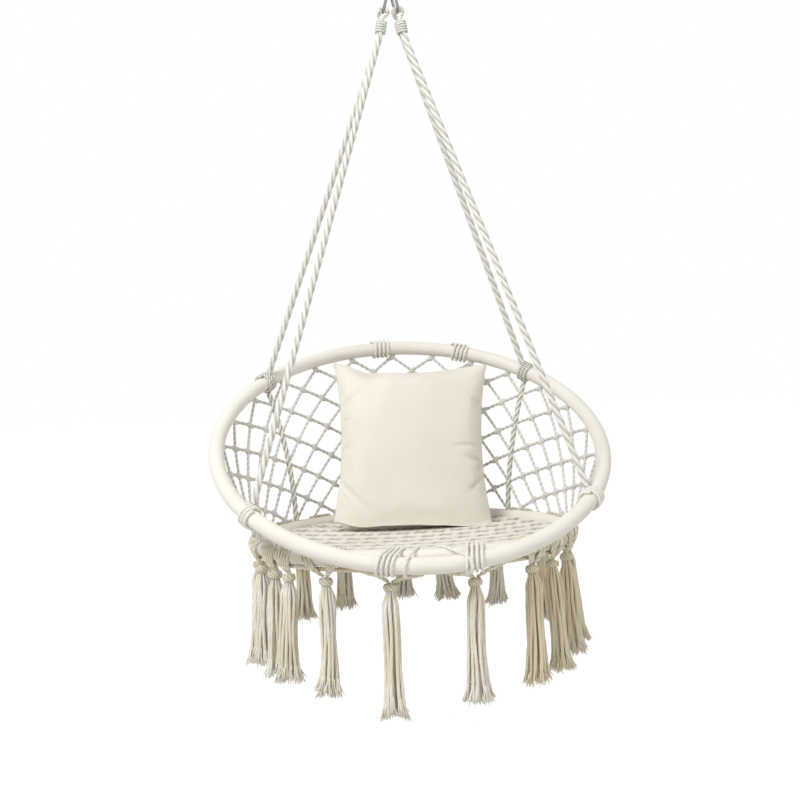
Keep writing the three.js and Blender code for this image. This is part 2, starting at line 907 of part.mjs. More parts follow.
// Woven seat: rows of cord across a shallow dish, drawn as ridges
function weaveGeometry() {
  const radius = (seatHoopRadius * Math.cos(Math.PI / hoopSegments) - sleeveRadius) - fit;
  const lines = 2 * weaveRows;
  const positions = [];
  const faces = [];
  const across = weaveColumns + 1;
  for (const face of [1, -1]) {
    for (let line = 0; line <= lines; line += 1) {
      const y = radius * weaveEndShare * ((2 * line) / lines - 1);
      const half = Math.sqrt(radius * radius - y * y);
      const ridge = line % 2 === 1 ? weaveRidge / 2 : -weaveRidge / 2;
      for (let column = 0; column <= weaveColumns; column += 1) {
        const x = half * ((2 * column) / weaveColumns - 1);
        const dish = -weaveSag * (1 - (x * x + y * y) / (radius * radius));
        positions.push(x, y, dish + (face * (weaveThickness + ridge)) / 2);
      }
    }
  }
  gridFaces(faces, lines, across);
  return indexed(positions, faces);
}

// Faces of a slab whose top and bottom are grids of (lines + 1) rows of points
function gridFaces(faces, lines, across) {
  const layer = (lines + 1) * across;
  const at = (line, column, side) => side * layer + line * across + column;
  const quad = (a, b, c, d) => faces.push(a, b, c, a, c, d);
  for (let line = 0; line < lines; line += 1) {
    const next = line + 1;
    for (let column = 0; column < across - 1; column += 1) {
      const right = column + 1;
      quad(at(line, column, 0), at(line, right, 0), at(next, right, 0), at(next, column, 0));
      quad(at(line, column, 1), at(next, column, 1), at(next, right, 1), at(line, right, 1));
    }
    const last = across - 1;
    quad(at(line, 0, 0), at(next, 0, 0), at(next, 0, 1), at(line, 0, 1));
    quad(at(line, last, 1), at(next, last, 1), at(next, last, 0), at(line, last, 0));
  }
  for (let column = 0; column < across - 1; column += 1) {
    const right = column + 1;
    quad(at(0, column, 1), at(0, right, 1), at(0, right, 0), at(0, column, 0));
    quad(at(lines, column, 0), at(lines, right, 0), at(lines, right, 1), at(lines, column, 1));
  }
}

function indexed(positions, faces) {
  const geometry = new THREE.BufferGeometry();
  geometry.setAttribute('position', new THREE.BufferAttribute(new Float32Array(positions), 3));
  geometry.setIndex(faces);
  return closed(geometry);
}

// The room that a lashing takes round the seat hoop. Its loops slant across the hoop, so the room
// is longer than the lashing is wide.
function lashingNotch(side) {
  const clear = (lashingOuterRadius + fit) / Math.cos(Math.PI / cutterSides);
  const slant = lashingOuterRadius * Math.sin(lashingSeatAngle);
  const half = widthOf(lashingCordDiameter, lashingTurns) / 2 + slant;
  const stations = [-1, -1 / 2, 0, 1 / 2, 1].map((share) => {
    const angle = side * lashingSeatAngle + (share * half) / seatHoop.radius;
    return seatHoop.point(angle).sub(seatHoop.centre).add(new THREE.Vector3(0, 0, weaveDrop));
  });
  return solid(tube(stations, 2 * clear, cutterSides));
}

function seatWeave() {
  const notched = solid(weaveGeometry()).subtract(lashingNotch(1)).subtract(lashingNotch(-1));
  const mesh = piece('seat_weave', fromSolid(notched), cotton());
  mesh.position.copy(seatHoop.centre);
  mesh.position.z -= weaveDrop;
  return mesh;
}

// Fringe

const headerDrop = sleeveRadius + fit + headerCordDiameter / 2;

// The two tassels before the header cord's ends hang from the lashings there
const lashingDrop = lashingOuterRadius + 2 * fit - headerCordDiameter / 2;

function headerStart() {
  const lashing = widthOf(lashingCordDiameter, lashingTurns) / 2 + fit + headerCordDiameter / 2;
  return lashingSeatAngle + lashing / seatHoop.radius;
}

// It runs round the seat hoop's underside from one front lashing back to the other
function headerCord() {
  const from = headerStart();
  const sweep = 2 * (Math.PI - from);
  const stations = [];
  for (let k = 0; k <= hoopSegments; k += 1) {
    stations.push(seatHoop.point(from + (sweep * k) / hoopSegments).sub(seatHoop.centre));
  }
  const mesh = piece('fringe_header_cord', tube(stations, headerCordDiameter, headerSides), cotton());
  mesh.position.copy(seatHoop.centre);
  mesh.position.z -= headerDrop;
  return mesh;
}

// A tassel hangs from its own origin, the middle of the header cord
function tasselGeometry(length) {
  const knot = tasselKnotDiameter / 2;
  const neck = tasselNeckDiameter / 2;
  const knotTop = -tasselKnotDrop + headerDrop + tasselKnotHeight / 2;
  const knotFoot = knotTop - tasselKnotHeight;
  const foot = -length + headerDrop;
  const skirtTop = knotFoot - tasselSkirtDiameter;
  const profile = [
    [0, foot],
    [tasselEndDiameter / 2, foot],
    [tasselSkirtDiameter / 2, skirtTop],
    [neck, knotFoot],
    [knot, (knotTop + knotFoot) / 2],
    [neck, knotTop],
    [0, knotTop],
  ].map(([x, y]) => new THREE.Vector2(x, y));
  const skirt = new THREE.LatheGeometry(profile, 2 * tasselLobes);
  lobe(skirt, knotFoot);
  skirt.rotateX(Math.PI / 2);
  let body = solid(skirt);
  const knotMiddle = new THREE.Vector3(0, 0, (knotTop + knotFoot) / 2);
  const lean = Math.atan2(tasselLegSpread, -knotMiddle.z);
  for (const side of [1, -1]) {
    const top = new THREE.Vector3(side * tasselLegSpread, 0, -headerCordDiameter / 2 - fit);
    top.z -= (tasselLegDiameter / 2) * Math.sin(lean);
    body = body.add(solid(tube([top, knotMiddle], tasselLegDiameter, tasselLegSides)));
  }
  return fromSolid(body);
}

// Pushes every second line of the skirt in, so that it hangs in bunches of cord
function lobe(geometry, below) {
  const position = geometry.attributes.position;
  for (let k = 0; k < position.count; k += 1) {
    const x = position.getX(k);
    const z = position.getZ(k);
    if (position.getY(k) < below) {
      const angle = Math.atan2(x, z);
      const scale = 1 + tasselLobeShare * Math.cos(tasselLobes * angle);
      position.setX(k, x * scale);
      position.setZ(k, z * scale);
    }
  }
}

function tassels() {
  const group = new THREE.Group();
  tasselDegrees.forEach((degrees, k) => {
    const angle = radians(degrees);
    const length = tasselLength + tasselFrontExtra * Math.cos(angle);
    const name = `tassel_${String(k + 1).padStart(2, '0')}`;
    const mesh = piece(name, tasselGeometry(length), cotton());
    mesh.position.copy(seatHoop.point(angle));
    mesh.position.z -= Math.cos(angle) > Math.cos(headerStart()) ? lashingDrop : headerDrop;
    mesh.rotation.set(-radians(tasselSplayDegrees), 0, angle, 'ZXY');
    group.add(mesh);
  });
  return group;
}

// Pillow

// A filled square with drawn-in sides and a crown, thinned by an inset on every side
function pillowShell(inset) {
  const halfWidth = pillowWidth / 2 - inset;
  const halfHeight = pillowHeight / 2 - inset;
  const crown = pillowThickness / 2 - inset;
  const seam = Math.max(pillowSeamThickness / 2 - inset, fit);
  const positions = [];
  const faces = [];
  const spread = (k) => Math.sin((Math.PI / 2) * ((2 * k) / pillowSteps - 1));
  for (const face of [1, -1]) {
    for (let row = 0; row <= pillowSteps; row += 1) {
      for (let column = 0; column <= pillowSteps; column += 1) {
        const u = spread(column);
        const v = spread(row);
        const bulge = ((1 - u * u) * (1 - v * v)) ** pillowCrownShare;
        positions.push(
          halfWidth * u * (1 - pillowDrawShare * (1 - v * v)),
          -face * (seam + (crown - seam) * bulge),
          halfHeight * v * (1 - pillowDrawShare * (1 - u * u)),
        );
      }
    }
  }
  gridFaces(faces, pillowSteps, pillowSteps + 1);
  return indexed(positions, faces);
}

function pillow() {
  const outer = pillowShell(0);
  const cavity = pillowShell(coverThickness);
  const zip = new THREE.BoxGeometry(zipWidth, zipGap, pillowHeight * pillowDrawShare + 4 * overrun);
  zip.translate(0, 0, -pillowHeight / 2);
  const cover = fromSolid(solid(outer).subtract(solid(cavity)).subtract(solid(zip)));
  const group = new THREE.Group();
  group.add(piece('pillow_cover', cover, cotton()));
  group.add(piece('pillow_insert', pillowShell(coverThickness + fit), filling()));
  const foot = pillowFoot();
  const lean = pillowLean(foot);
  group.position.set(
    foot.x,
    foot.y + (pillowHeight / 2) * Math.sin(lean),
    foot.z + (pillowHeight / 2) * Math.cos(lean) + (pillowSeamThickness / 2) * Math.sin(lean),
  );
  group.rotation.x = -lean;
  return group;
}

// It stands on the seat, a little aside and a gap in front of the seat hoop's back, where the
// seat has sunk a little
function pillowFoot() {
  const y = seatHoop.point(Math.PI).y - sleeveRadius - pillowFootGap;
  const corner = Math.hypot(pillowAside + pillowWidth / 2, y - seatHoop.centre.y);
  const reach = corner / (seatHoopRadius - sleeveRadius);
  const sunk = weaveDrop + weaveSag * (1 - reach * reach);
  const z = seatHoop.centre.z - sunk + (weaveThickness + weaveRidge) / 2 + fit;
  return new THREE.Vector3(pillowAside, y, z);
}

// It leans towards a place a gap in front of the back hoop's top
function pillowLean(foot) {
  const top = backHoop.point(Math.PI);
  return Math.atan2(top.y - sleeveRadius - pillowTopGap - foot.y, top.z - foot.z);
}

// Assembly

const sides = [['left', -1], ['right', 1]];

function ropesAndKnots() {
  const group = new THREE.Group();
  for (const [word, side] of sides) {
    group.add(piece(`${word}_rope_eye`, ropeEye(side), cottonRope()));
    group.add(topWrap(`${word}_top_wrap`, side));
    for (const place of ['front', 'rear']) {
      group.add(piece(`${word}_${place}_rope`, hangingRope(side, place), cottonRope()));
      group.add(hoopKnot(`${word}_${place}_knot`, side, place));
      group.add(piece(`${word}_${place}_support`, support(side, place), cottonRope()));
    }
    group.add(piece(`${word}_front_lacing`, lacing(side), cotton()));
    group.add(frontLashing(`${word}_front_lashing`, side));
    group.add(backWrap(`${word}_back_wrap`, word));
  }
  return group;
}

const chair = new THREE.Group();
chair.add(snapHook());
sides.forEach(([word, side]) => chair.add(ring(`${word}_ring`, side)));
chair.add(ropesAndKnots());
chair.add(hoopPieces('back_hoop', backHoop));
chair.add(hoopPieces('seat_hoop', seatHoop));
chair.add(net());
chair.add(seatWeave());
chair.add(headerCord());
chair.add(tassels());
chair.add(pillow());

export default chair;
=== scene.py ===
# %% [markdown]
# # A hanging saucer chair of knotted cotton
# The chair is two padded hoops that meet at the front, a net of diamonds between them, four
# ropes up to two rings and a snap hook, a woven seat with a fringe of tassels, and one pillow.
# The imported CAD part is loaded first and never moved. Every piece made below sits where its
# CAD solid sits, in metres, and rides on one of the part's bodies.

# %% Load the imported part
import math

import bpy
import numpy as np
from mathutils import Matrix, Vector


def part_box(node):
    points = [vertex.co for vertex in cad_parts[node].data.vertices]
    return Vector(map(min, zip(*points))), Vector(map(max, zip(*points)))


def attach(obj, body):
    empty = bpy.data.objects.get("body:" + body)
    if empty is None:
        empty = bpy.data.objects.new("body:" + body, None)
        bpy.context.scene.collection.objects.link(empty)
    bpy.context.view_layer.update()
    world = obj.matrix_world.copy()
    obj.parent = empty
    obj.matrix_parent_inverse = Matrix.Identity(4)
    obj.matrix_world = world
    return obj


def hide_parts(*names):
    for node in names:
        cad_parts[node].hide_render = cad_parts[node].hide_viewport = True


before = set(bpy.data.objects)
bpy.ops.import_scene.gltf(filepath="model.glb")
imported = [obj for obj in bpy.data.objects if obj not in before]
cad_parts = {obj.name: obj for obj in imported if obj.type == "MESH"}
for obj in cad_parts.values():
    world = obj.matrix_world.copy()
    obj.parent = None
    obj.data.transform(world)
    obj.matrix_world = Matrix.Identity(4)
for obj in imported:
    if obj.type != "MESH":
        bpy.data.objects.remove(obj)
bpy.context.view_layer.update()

# %% [markdown]
# ## Helpers
# New objects go into the scene in one way, and shader nodes are made by a few short functions.
# Each input of a node is either linked to another node's output or set to a value.

# %% Object helpers


def new_object(name, data):
    """An object made of a mesh, a lamp or a camera, put into the scene."""
    made = bpy.data.objects.new(name, data)
    bpy.context.scene.collection.objects.link(made)
    return made


def dress(thing, material):
    """Gives an object one material in place of those it had."""
    thing.data.materials.clear()
    thing.data.materials.append(material)


def mark(mesh, label, numbers):
    """Writes a number at each of a mesh's points, under a label that materials can read."""
    layer = mesh.attributes.new(label, "FLOAT", "POINT")
    layer.data.foreach_set("value", numbers.astype(np.float32))


# %% Node helpers


def give(tree, socket, value):
    """Links an output to an input, or sets the input to a plain value."""
    if isinstance(value, bpy.types.NodeSocket):
        tree.links.new(value, socket)
    else:
        socket.default_value = value


def set_inputs(tree, node, **values):
    """Gives a node's inputs by name, with _ for a space."""
    for label, value in values.items():
        give(tree, node.inputs[label.replace("_", " ")], value)


def new_node(tree, kind, *inputs, **named):
    """A shader node, with its inputs given in their order or by name."""
    node = tree.nodes.new(f"ShaderNode{kind}")
    for socket, value in zip(node.inputs, inputs):
        give(tree, socket, value)
    set_inputs(tree, node, **named)
    return node


def maths(tree, operation, *operands, clamp=False):
    """The result of one Math node."""
    node = new_node(tree, "Math", *operands)
    node.operation = operation
    node.use_clamp = clamp
    return node.outputs[0]


def colour_mix(tree, share, first, second):
    """From one colour to another by a share. The colours are inputs 6 and 7 and output 2."""
    node = new_node(tree, "Mix", share)
    node.data_type = "RGBA"
    give(tree, node.inputs[6], first)
    give(tree, node.inputs[7], second)
    return node.outputs[2]


# %% [markdown]
# ## Camera
# The camera stands level, a little left of the middle and a little above the middle of the big
# hoop. Its place was fitted to a few well-seen points: the ends of both hoops and the places
# where the ropes meet the big one. A small roll and a small shift give the picture's framing.

# %% Camera
picture_pixels = 800
focal_pixels = 1088.28
middle_pixels = (407.2, 384.47)
camera_distance = 2.2
camera_yaw = 0.1027
camera_roll = -0.0424
aim_point = Vector((0.0, -0.021, -0.8606))


def camera_matrix():
    """Looks along (sin yaw, cos yaw, 0), rolled about that line, from a distance behind the aim."""
    looking = Vector((math.sin(camera_yaw), math.cos(camera_yaw), 0.0))
    right = Vector((math.cos(camera_yaw), -math.sin(camera_yaw), 0.0))
    up = Vector((0.0, 0.0, 1.0))
    across = right * math.cos(camera_roll) + up * math.sin(camera_roll)
    upward = up * math.cos(camera_roll) - right * math.sin(camera_roll)
    turned = Matrix((across, upward, -looking)).transposed().to_4x4()
    return Matrix.Translation(aim_point - looking * camera_distance) @ turned


camera = new_object("camera", bpy.data.cameras.new("camera"))
camera.matrix_world = camera_matrix()
camera.data.sensor_width = 36.0
camera.data.lens = focal_pixels / picture_pixels * camera.data.sensor_width
camera.data.shift_x = (picture_pixels / 2 - middle_pixels[0]) / picture_pixels
camera.data.shift_y = (middle_pixels[1] - picture_pixels / 2) / picture_pixels
bpy.context.scene.camera = camera
bpy.context.scene.view_settings.view_transform = "Standard"
print("camera lens", round(camera.data.lens, 2), "mm")

# %% [markdown]
# ## Light
# The picture looks like a plain shop picture: white all round, as if lit by a large soft lamp
# high on the left and by a lot of bounced light. An area lamp gives the key, a weaker one fills
# from the right, and the world gives the bounce. The camera sees the world as plain white, and
# so do mirror-like surfaces, while the light that falls on the chair stays at a level where a
# colour renders about as it is written.

# %% World and lamps
bounce_strength = 0.49
key_watts = 101.0
fill_watts = 19.0


def white_for_camera(tree, lit_output, white_output, target_input):
    """Mixes two shaders: the white one is seen by the camera, in mirrors and through glass."""
    rays = new_node(tree, "LightPath").outputs
    seen = maths(tree, "ADD", rays["Is Camera Ray"], rays["Is Glossy Ray"], clamp=True)
    clear = maths(tree, "ADD", seen, rays["Is Transmission Ray"], clamp=True)
    mix = new_node(tree, "MixShader", clear, lit_output, white_output)
    give(tree, target_input, mix.outputs[0])


world = bpy.data.worlds.new("white_studio")
bpy.context.scene.world = world
world.use_nodes = True
sky = world.node_tree
sky.nodes.clear()
bounce = new_node(sky, "Background", Color=(1.0, 0.985, 0.955, 1.0), Strength=bounce_strength)
white = new_node(sky, "Background", Color=(1.0, 1.0, 1.0, 1.0))
sky_output = new_node(sky, "OutputWorld").inputs["Surface"]
white_for_camera(sky, bounce.outputs[0], white.outputs[0], sky_output)


def lamp(name, place, target, size, watts):
    """A square area lamp at a place, turned to look at a target."""
    data = bpy.data.lights.new(name, "AREA")
    data.size = size
    data.energy = watts
    light = new_object(name, data)
    light.location = place
    light.rotation_euler = (Vector(target) - Vector(place)).to_track_quat("-Z", "Y").to_euler()


chair_middle = (0.0, 0.0, -1.0)
lamp("key_lamp", (-2.0, -1.9, 1.9), chair_middle, size=1.6, watts=key_watts)
lamp("fill_lamp", (2.6, -2.2, 0.2), chair_middle, size=2.4, watts=fill_watts)
print("lamps placed")

# %% [markdown]
# ## Floor
# The chair hangs with its seat about 45 cm above the floor. The floor is one large sheet. Seen
# by the camera it is nearly white already, and the lamps add the rest, so that only the soft
# shadow under the chair stays a little darker. Other rays meet plain pale paint.

# %% Floor
floor_height = -1.62
floor_half_width = 30.0
square_corners = ((-1, -1), (1, -1), (1, 1), (-1, 1))
floor_corners = [(x * floor_half_width, y * floor_half_width, floor_height) for x, y in square_corners]
floor_mesh = bpy.data.meshes.new("floor")
floor_mesh.from_pydata(floor_corners, [], [(0, 1, 2, 3)])
floor = new_object("floor", floor_mesh)
floor_paint = bpy.data.materials.new("pale_floor")
floor_paint.use_nodes = True
floor_tree = floor_paint.node_tree
floor_tree.nodes.clear()
paint = new_node(floor_tree, "BsdfDiffuse", Color=(0.30, 0.30, 0.30, 1.0))
pale = new_node(floor_tree, "BsdfDiffuse", Color=(0.80, 0.79, 0.77, 1.0))
glow = new_node(floor_tree, "Emission", Strength=0.86)
lifted = new_node(floor_tree, "AddShader", paint.outputs[0], glow.outputs[0])
floor_output = new_node(floor_tree, "OutputMaterial").inputs["Surface"]
white_for_camera(floor_tree, pale.outputs[0], lifted.outputs[0], floor_output)
floor_mesh.materials.append(floor_paint)
print("floor at", floor_height)

# %% [markdown]
# ## Shared effects
# Cotton cord, sleeve cloth and pillow cloth look alike in three ways: the yarn's colour drifts
# a little from place to place, threads make fine ridges, and hollows get a little painted shade.
# Each effect is a node group, built once, and placed in each material with its own values.

# %% Node groups


def effect(name, inputs, *outputs):
    """An empty node group, what comes into it and what goes out. An input without a value is a
    vector, one with four numbers a colour. Every output but Color is a number."""
    tree = bpy.data.node_groups.new(name, "ShaderNodeTree")
    for label, value in inputs.items():
        kind = "Vector" if value is None else "Float" if isinstance(value, float) else "Color"
        socket = tree.interface.new_socket(name=label, in_out="INPUT", socket_type=f"NodeSocket{kind}")
        if value is not None:
            socket.default_value = value
    for label in outputs:
        kind = "Color" if label == "Color" else "Float"
        tree.interface.new_socket(name=label, in_out="OUTPUT", socket_type=f"NodeSocket{kind}")
    print("effect", tree.name)
    return tree, tree.nodes.new("NodeGroupInput").outputs, tree.nodes.new("NodeGroupOutput").inputs


# %% Group: drifting cotton colour
drifting = {
    "Vector": None,
    "Clean": (0.93, 0.9, 0.83, 1.0),
    "Aged": (0.85, 0.8, 0.7, 1.0),
    "Hollow": (0.6, 0.55, 0.45, 1.0),
    "Hollow Mask": 0.0,
    "Weather": 0.0,
    "Scale": 14.0,
}
cotton_drift, given, result = effect("cotton_drift", drifting, "Color")
blotches = new_node(cotton_drift, "TexNoise", Vector=given["Vector"], Scale=given["Scale"])
set_inputs(cotton_drift, blotches, Detail=5.0, Roughness=0.6)
spread = new_node(cotton_drift, "MapRange", Value=blotches.outputs["Fac"], From_Min=0.35, From_Max=0.7)
# The drift plus the mesh's own toning, which on the fringe at the front also stands for painted shadow.
tone_and_shade = maths(cotton_drift, "ADD", spread.outputs[0], given["Weather"])
drift_share = maths(cotton_drift, "MINIMUM", tone_and_shade, 1.0)
drifted = colour_mix(cotton_drift, drift_share, given["Clean"], given["Aged"])
# Painted shade: the colour moves to the Hollow colour where the Hollow Mask is high.
shaded = colour_mix(cotton_drift, given["Hollow Mask"], drifted, given["Hollow"])
give(cotton_drift, result["Color"], shaded)

# %% Group: yarns that run slantwise along a cord
laid_yarns = {"UV": None, "Yarn": 0.0016, "Slant": 0.5, "Fuzz": 0.4}
cord_yarns, given, result = effect("cord_yarns", laid_yarns, "Height", "Groove")
uv = new_node(cord_yarns, "SeparateXYZ", given["UV"]).outputs
slanted = maths(cord_yarns, "MULTIPLY", uv[0], given["Slant"])
across_yarns = maths(cord_yarns, "ADD", uv[1], slanted)
yarn_count = maths(cord_yarns, "DIVIDE", across_yarns, given["Yarn"])
yarn_turn = maths(cord_yarns, "MULTIPLY", yarn_count, math.pi)
yarn_round = maths(cord_yarns, "ABSOLUTE", maths(cord_yarns, "SINE", yarn_turn))
fuzz_noise = new_node(cord_yarns, "TexNoise", Vector=given["UV"], Scale=900.0, Detail=3.0)
fuzz = maths(cord_yarns, "MULTIPLY", fuzz_noise.outputs["Fac"], given["Fuzz"])
give(cord_yarns, result["Height"], maths(cord_yarns, "ADD", yarn_round, fuzz))
# Groove is deepest between the yarns; the cord materials paint shade there.
yarn_low = maths(cord_yarns, "SUBTRACT", 1.0, yarn_round)
give(cord_yarns, result["Groove"], maths(cord_yarns, "POWER", yarn_low, 3.0))

# %% Group: plain weave
woven_threads = {"Vector": None, "Thread": 0.001, "Slub": 0.5}
plain_weave, given, result = effect("plain_weave", woven_threads, "Height", "Groove")
place_on_cloth = new_node(plain_weave, "SeparateXYZ", given["Vector"]).outputs
waves = []
for direction in (0, 1):
    thread_count = maths(plain_weave, "DIVIDE", place_on_cloth[direction], given["Thread"])
    waves.append(maths(plain_weave, "SINE", maths(plain_weave, "MULTIPLY", thread_count, math.pi)))
thread_height = maths(plain_weave, "ABSOLUTE", maths(plain_weave, "MULTIPLY", *waves))
slub_noise = new_node(plain_weave, "TexNoise", Vector=given["Vector"], Scale=160.0, Detail=4.0)
slub = maths(plain_weave, "MULTIPLY", slub_noise.outputs["Fac"], given["Slub"])
give(plain_weave, result["Height"], maths(plain_weave, "ADD", thread_height, slub))
# Groove is deepest between the threads; the cloth materials paint shade there.
thread_low = maths(plain_weave, "SUBTRACT", 1.0, thread_height)
give(plain_weave, result["Groove"], maths(plain_weave, "POWER", thread_low, 4.0))

# %% Group: rubbed metal
rubbing = {"Vector": None, "Smooth": 0.16, "Rubbed": 0.4, "Scale": 240.0}
rubbed_metal, given, result = effect("rubbed_metal", rubbing, "Roughness", "Height")
rubs = new_node(rubbed_metal, "TexNoise", Vector=given["Vector"], Scale=given["Scale"], Detail=6.0)
rough = new_node(rubbed_metal, "MapRange", Value=rubs.outputs["Fac"], From_Min=0.35, From_Max=0.75)
set_inputs(rubbed_metal, rough, To_Min=given["Smooth"], To_Max=given["Rubbed"])
give(rubbed_metal, result["Roughness"], rough.outputs[0])
give(rubbed_metal, result["Height"], rubs.outputs["Fac"])

# %% [markdown]
# ## Materials
# All the cotton is undyed and washed pale. Rope and net cord show their yarns, because each is
# laid up from strands, so their pattern follows the cord by its UV map, which is in metres:
# along the cord and round it. Every cord mesh also carries a number at each point that says
# how deep between two strands it lies, and the colour darkens a little there as painted shade.
# A second number, where a mesh has it, moves the colour to a greyer, yellower tone; on the
# fringe at the front it also stands for painted shadow under the big hoop.

# %% Cord materials


def new_material(name, **values):
    """A material, its node tree, its shader with values set, and its coordinates."""
    material = bpy.data.materials.new(name)
    material.use_nodes = True
    tree = material.node_tree
    shader = tree.nodes["Principled BSDF"]
    set_inputs(tree, shader, **values)
    return material, tree, shader, new_node(tree, "TexCoord").outputs


def place(tree, group, **values):
    """Puts a node group into a material with its own values, and gives its outputs."""
    node = tree.nodes.new("ShaderNodeGroup")
    node.node_tree = group
    set_inputs(tree, node, **values)
    return node.outputs


def attribute(tree, label):
    """The number that a mesh carries at its points under a label."""
    node = new_node(tree, "Attribute")
    node.attribute_name = label
    return node.outputs["Fac"]


def bump(tree, shader, height, strength, distance):
    """Feeds a height through a Bump node to a shader's Normal."""
    node = new_node(tree, "Bump", Strength=strength, Distance=distance, Height=height)
    give(tree, shader.inputs["Normal"], node.outputs[0])


def cotton_material(name, sheen):
    """A material whose shader is dull and slightly downy."""
    dull = {"Roughness": 0.92, "Specular_IOR_Level": 0.2}
    return new_material(name, **dull, Sheen_Weight=sheen, Sheen_Roughness=0.6)


def cotton_colour(tree, shader, where, deep, **values):
    """Gives a shader the drifting colour of cotton, with painted shade where deep is high."""
    mask = maths(tree, "MINIMUM", deep, 1.0)
    drift = place(tree, cotton_drift, Vector=where["Object"], Hollow_Mask=mask, **values)
    give(tree, shader.inputs["Base Color"], drift["Color"])


def cord_material(name, clean, aged, hollow, yarn, slant, depth):
    """Cotton cord: drifting colour, painted shade between strands and yarns, and fine slanting yarns."""
    material, tree, shader, where = cotton_material(name, 0.12)
    yarns = place(tree, cord_yarns, UV=where["UV"], Yarn=yarn, Slant=slant)
    # Painted shade between the yarns and, deeper, between the strands.
    grooves = maths(tree, "MULTIPLY", yarns["Groove"], 0.35)
    deep = maths(tree, "ADD", grooves, maths(tree, "POWER", attribute(tree, "painted_shade"), 1.6))
    # A greyer, yellower tone from the mesh; on the fringe at the front it is also painted shadow.
    toning = attribute(tree, "tone_and_shade")
    cotton_colour(tree, shader, where, deep, Clean=clean, Aged=aged, Hollow=hollow, Weather=toning)
    bump(tree, shader, yarns["Height"], 0.6, depth)
    print("cord material", name)
    return material


rope_cotton = cord_material(
    "rope_cotton", (0.97, 0.965, 0.935, 1), (0.93, 0.91, 0.85, 1), (0.44, 0.425, 0.35, 1),
    yarn=0.0019, slant=0.55, depth=0.0006,
)
binding_cotton = cord_material(
    "binding_cotton", (0.955, 0.94, 0.89, 1), (0.92, 0.895, 0.83, 1), (0.8, 0.765, 0.68, 1),
    yarn=0.0013, slant=0.5, depth=0.0003,
)
net_cotton = cord_material(
    "net_cotton", (0.96, 0.95, 0.92, 1), (0.79, 0.775, 0.735, 1), (0.52, 0.5, 0.45, 1),
    yarn=0.0011, slant=0.5, depth=0.0003,
)
seat_cotton = cord_material(
    "seat_cotton", (0.92, 0.89, 0.825, 1), (0.87, 0.83, 0.745, 1), (0.26, 0.23, 0.17, 1),
    yarn=0.0024, slant=0.3, depth=0.0003,
)
fringe_cotton = cord_material(
    "fringe_cotton", (0.98, 0.965, 0.925, 1), (0.84, 0.755, 0.565, 1), (0.66, 0.59, 0.45, 1),
    yarn=0.0014, slant=0.5, depth=0.0003,
)

# %% [markdown]
# The sleeve on the hoops is thin padded canvas, and the pillow is a slightly coarser plain
# cloth. Both are woven at right angles, so their bump is a checker of threads. The sleeve
# follows its own UV map round the hoop. The pillow's threads run with its own edges, so a
# Mapping node leans the Object coordinates back by the pillow's lean.

# %% Cloth materials
pillow_lean = math.radians(17.06)


def canvas_material(name, clean, aged, hollow, thread, depth, coordinate, lean=0.0):
    """Woven cotton: drifting colour, a checker of threads with painted shade between them, and slubs."""
    material, tree, shader, where = cotton_material(name, 0.1)
    source = where[coordinate]
    if lean:
        turned = new_node(tree, "Mapping", Vector=source, Rotation=(math.pi / 2 + lean, 0.0, 0.0))
        source = turned.outputs[0]
    cloth = place(tree, plain_weave, Vector=source, Thread=thread)
    # Painted shade between the threads, in creases and along seams.
    grooves = maths(tree, "MULTIPLY", cloth["Groove"], 0.18)
    deep = maths(tree, "ADD", grooves, attribute(tree, "painted_shade"))
    cotton_colour(tree, shader, where, deep, Clean=clean, Aged=aged, Hollow=hollow, Scale=9.0)
    bump(tree, shader, cloth["Height"], 0.5, depth)
    return material


sleeve_canvas = canvas_material(
    "sleeve_canvas", (0.935, 0.908, 0.842, 1), (0.89, 0.85, 0.77, 1), (0.5, 0.45, 0.36, 1),
    thread=0.0009, depth=0.0002, coordinate="UV",
)
pillow_canvas = canvas_material(
    "pillow_canvas", (0.90, 0.865, 0.775, 1), (0.86, 0.82, 0.725, 1), (0.3, 0.26, 0.19, 1),
    thread=0.0014, depth=0.0003, coordinate="Object", lean=-pillow_lean,
)
print("cloth materials", sleeve_canvas.name, pillow_canvas.name)

# %% [markdown]
# The hook and the rings are bright steel, rubbed dull in spots, and the tubes inside the sleeves
# are plain drawn steel. Roughness comes from noise, never from one number.

# %% Metal materials


def metal_material(name, colour, smooth, rubbed, scale, depth):
    """Steel with a roughness that drifts between polished and rubbed."""
    material, tree, shader, where = new_material(name, Metallic=1.0, Base_Color=colour)
    steel = place(tree, rubbed_metal, Vector=where["Object"], Smooth=smooth, Rubbed=rubbed, Scale=scale)
    give(tree, shader.inputs["Roughness"], steel["Roughness"])
    bump(tree, shader, steel["Height"], 0.15, depth)
    return material


bright_steel = metal_material(
    "bright_steel", (0.30, 0.31, 0.32, 1), smooth=0.14, rubbed=0.42, scale=260.0, depth=0.0001
)
drawn_steel = metal_material(
    "drawn_steel", (0.5, 0.5, 0.51, 1), smooth=0.3, rubbed=0.6, scale=90.0, depth=0.0002
)
print("metal materials", bright_steel.name, drawn_steel.name)

# %% [markdown]
# ## Surfaces from grids
# Nearly everything here is a tube: a ring of points carried along a path. All the tubes of one
# piece are worked out together as one array of tubes, rings and points, and become one mesh.

# %% Grids to meshes


def tube_cells(tubes, rings, sides, looped):
    """Four-cornered cells between neighbouring rings, with the ring and side of each corner."""
    spans = rings if looped else rings - 1
    counts = (np.arange(tubes), np.arange(spans), np.arange(sides))
    tube, ring, side = (grid.ravel() for grid in np.meshgrid(*counts, indexing="ij"))
    steps = ((0, 0), (0, 1), (1, 1), (1, 0))
    cells = [(tube * rings + (ring + a) % rings) * sides + (side + b) % sides for a, b in steps]
    return np.stack(cells, -1), tube, [(ring + a, side + b) for a, b in steps]


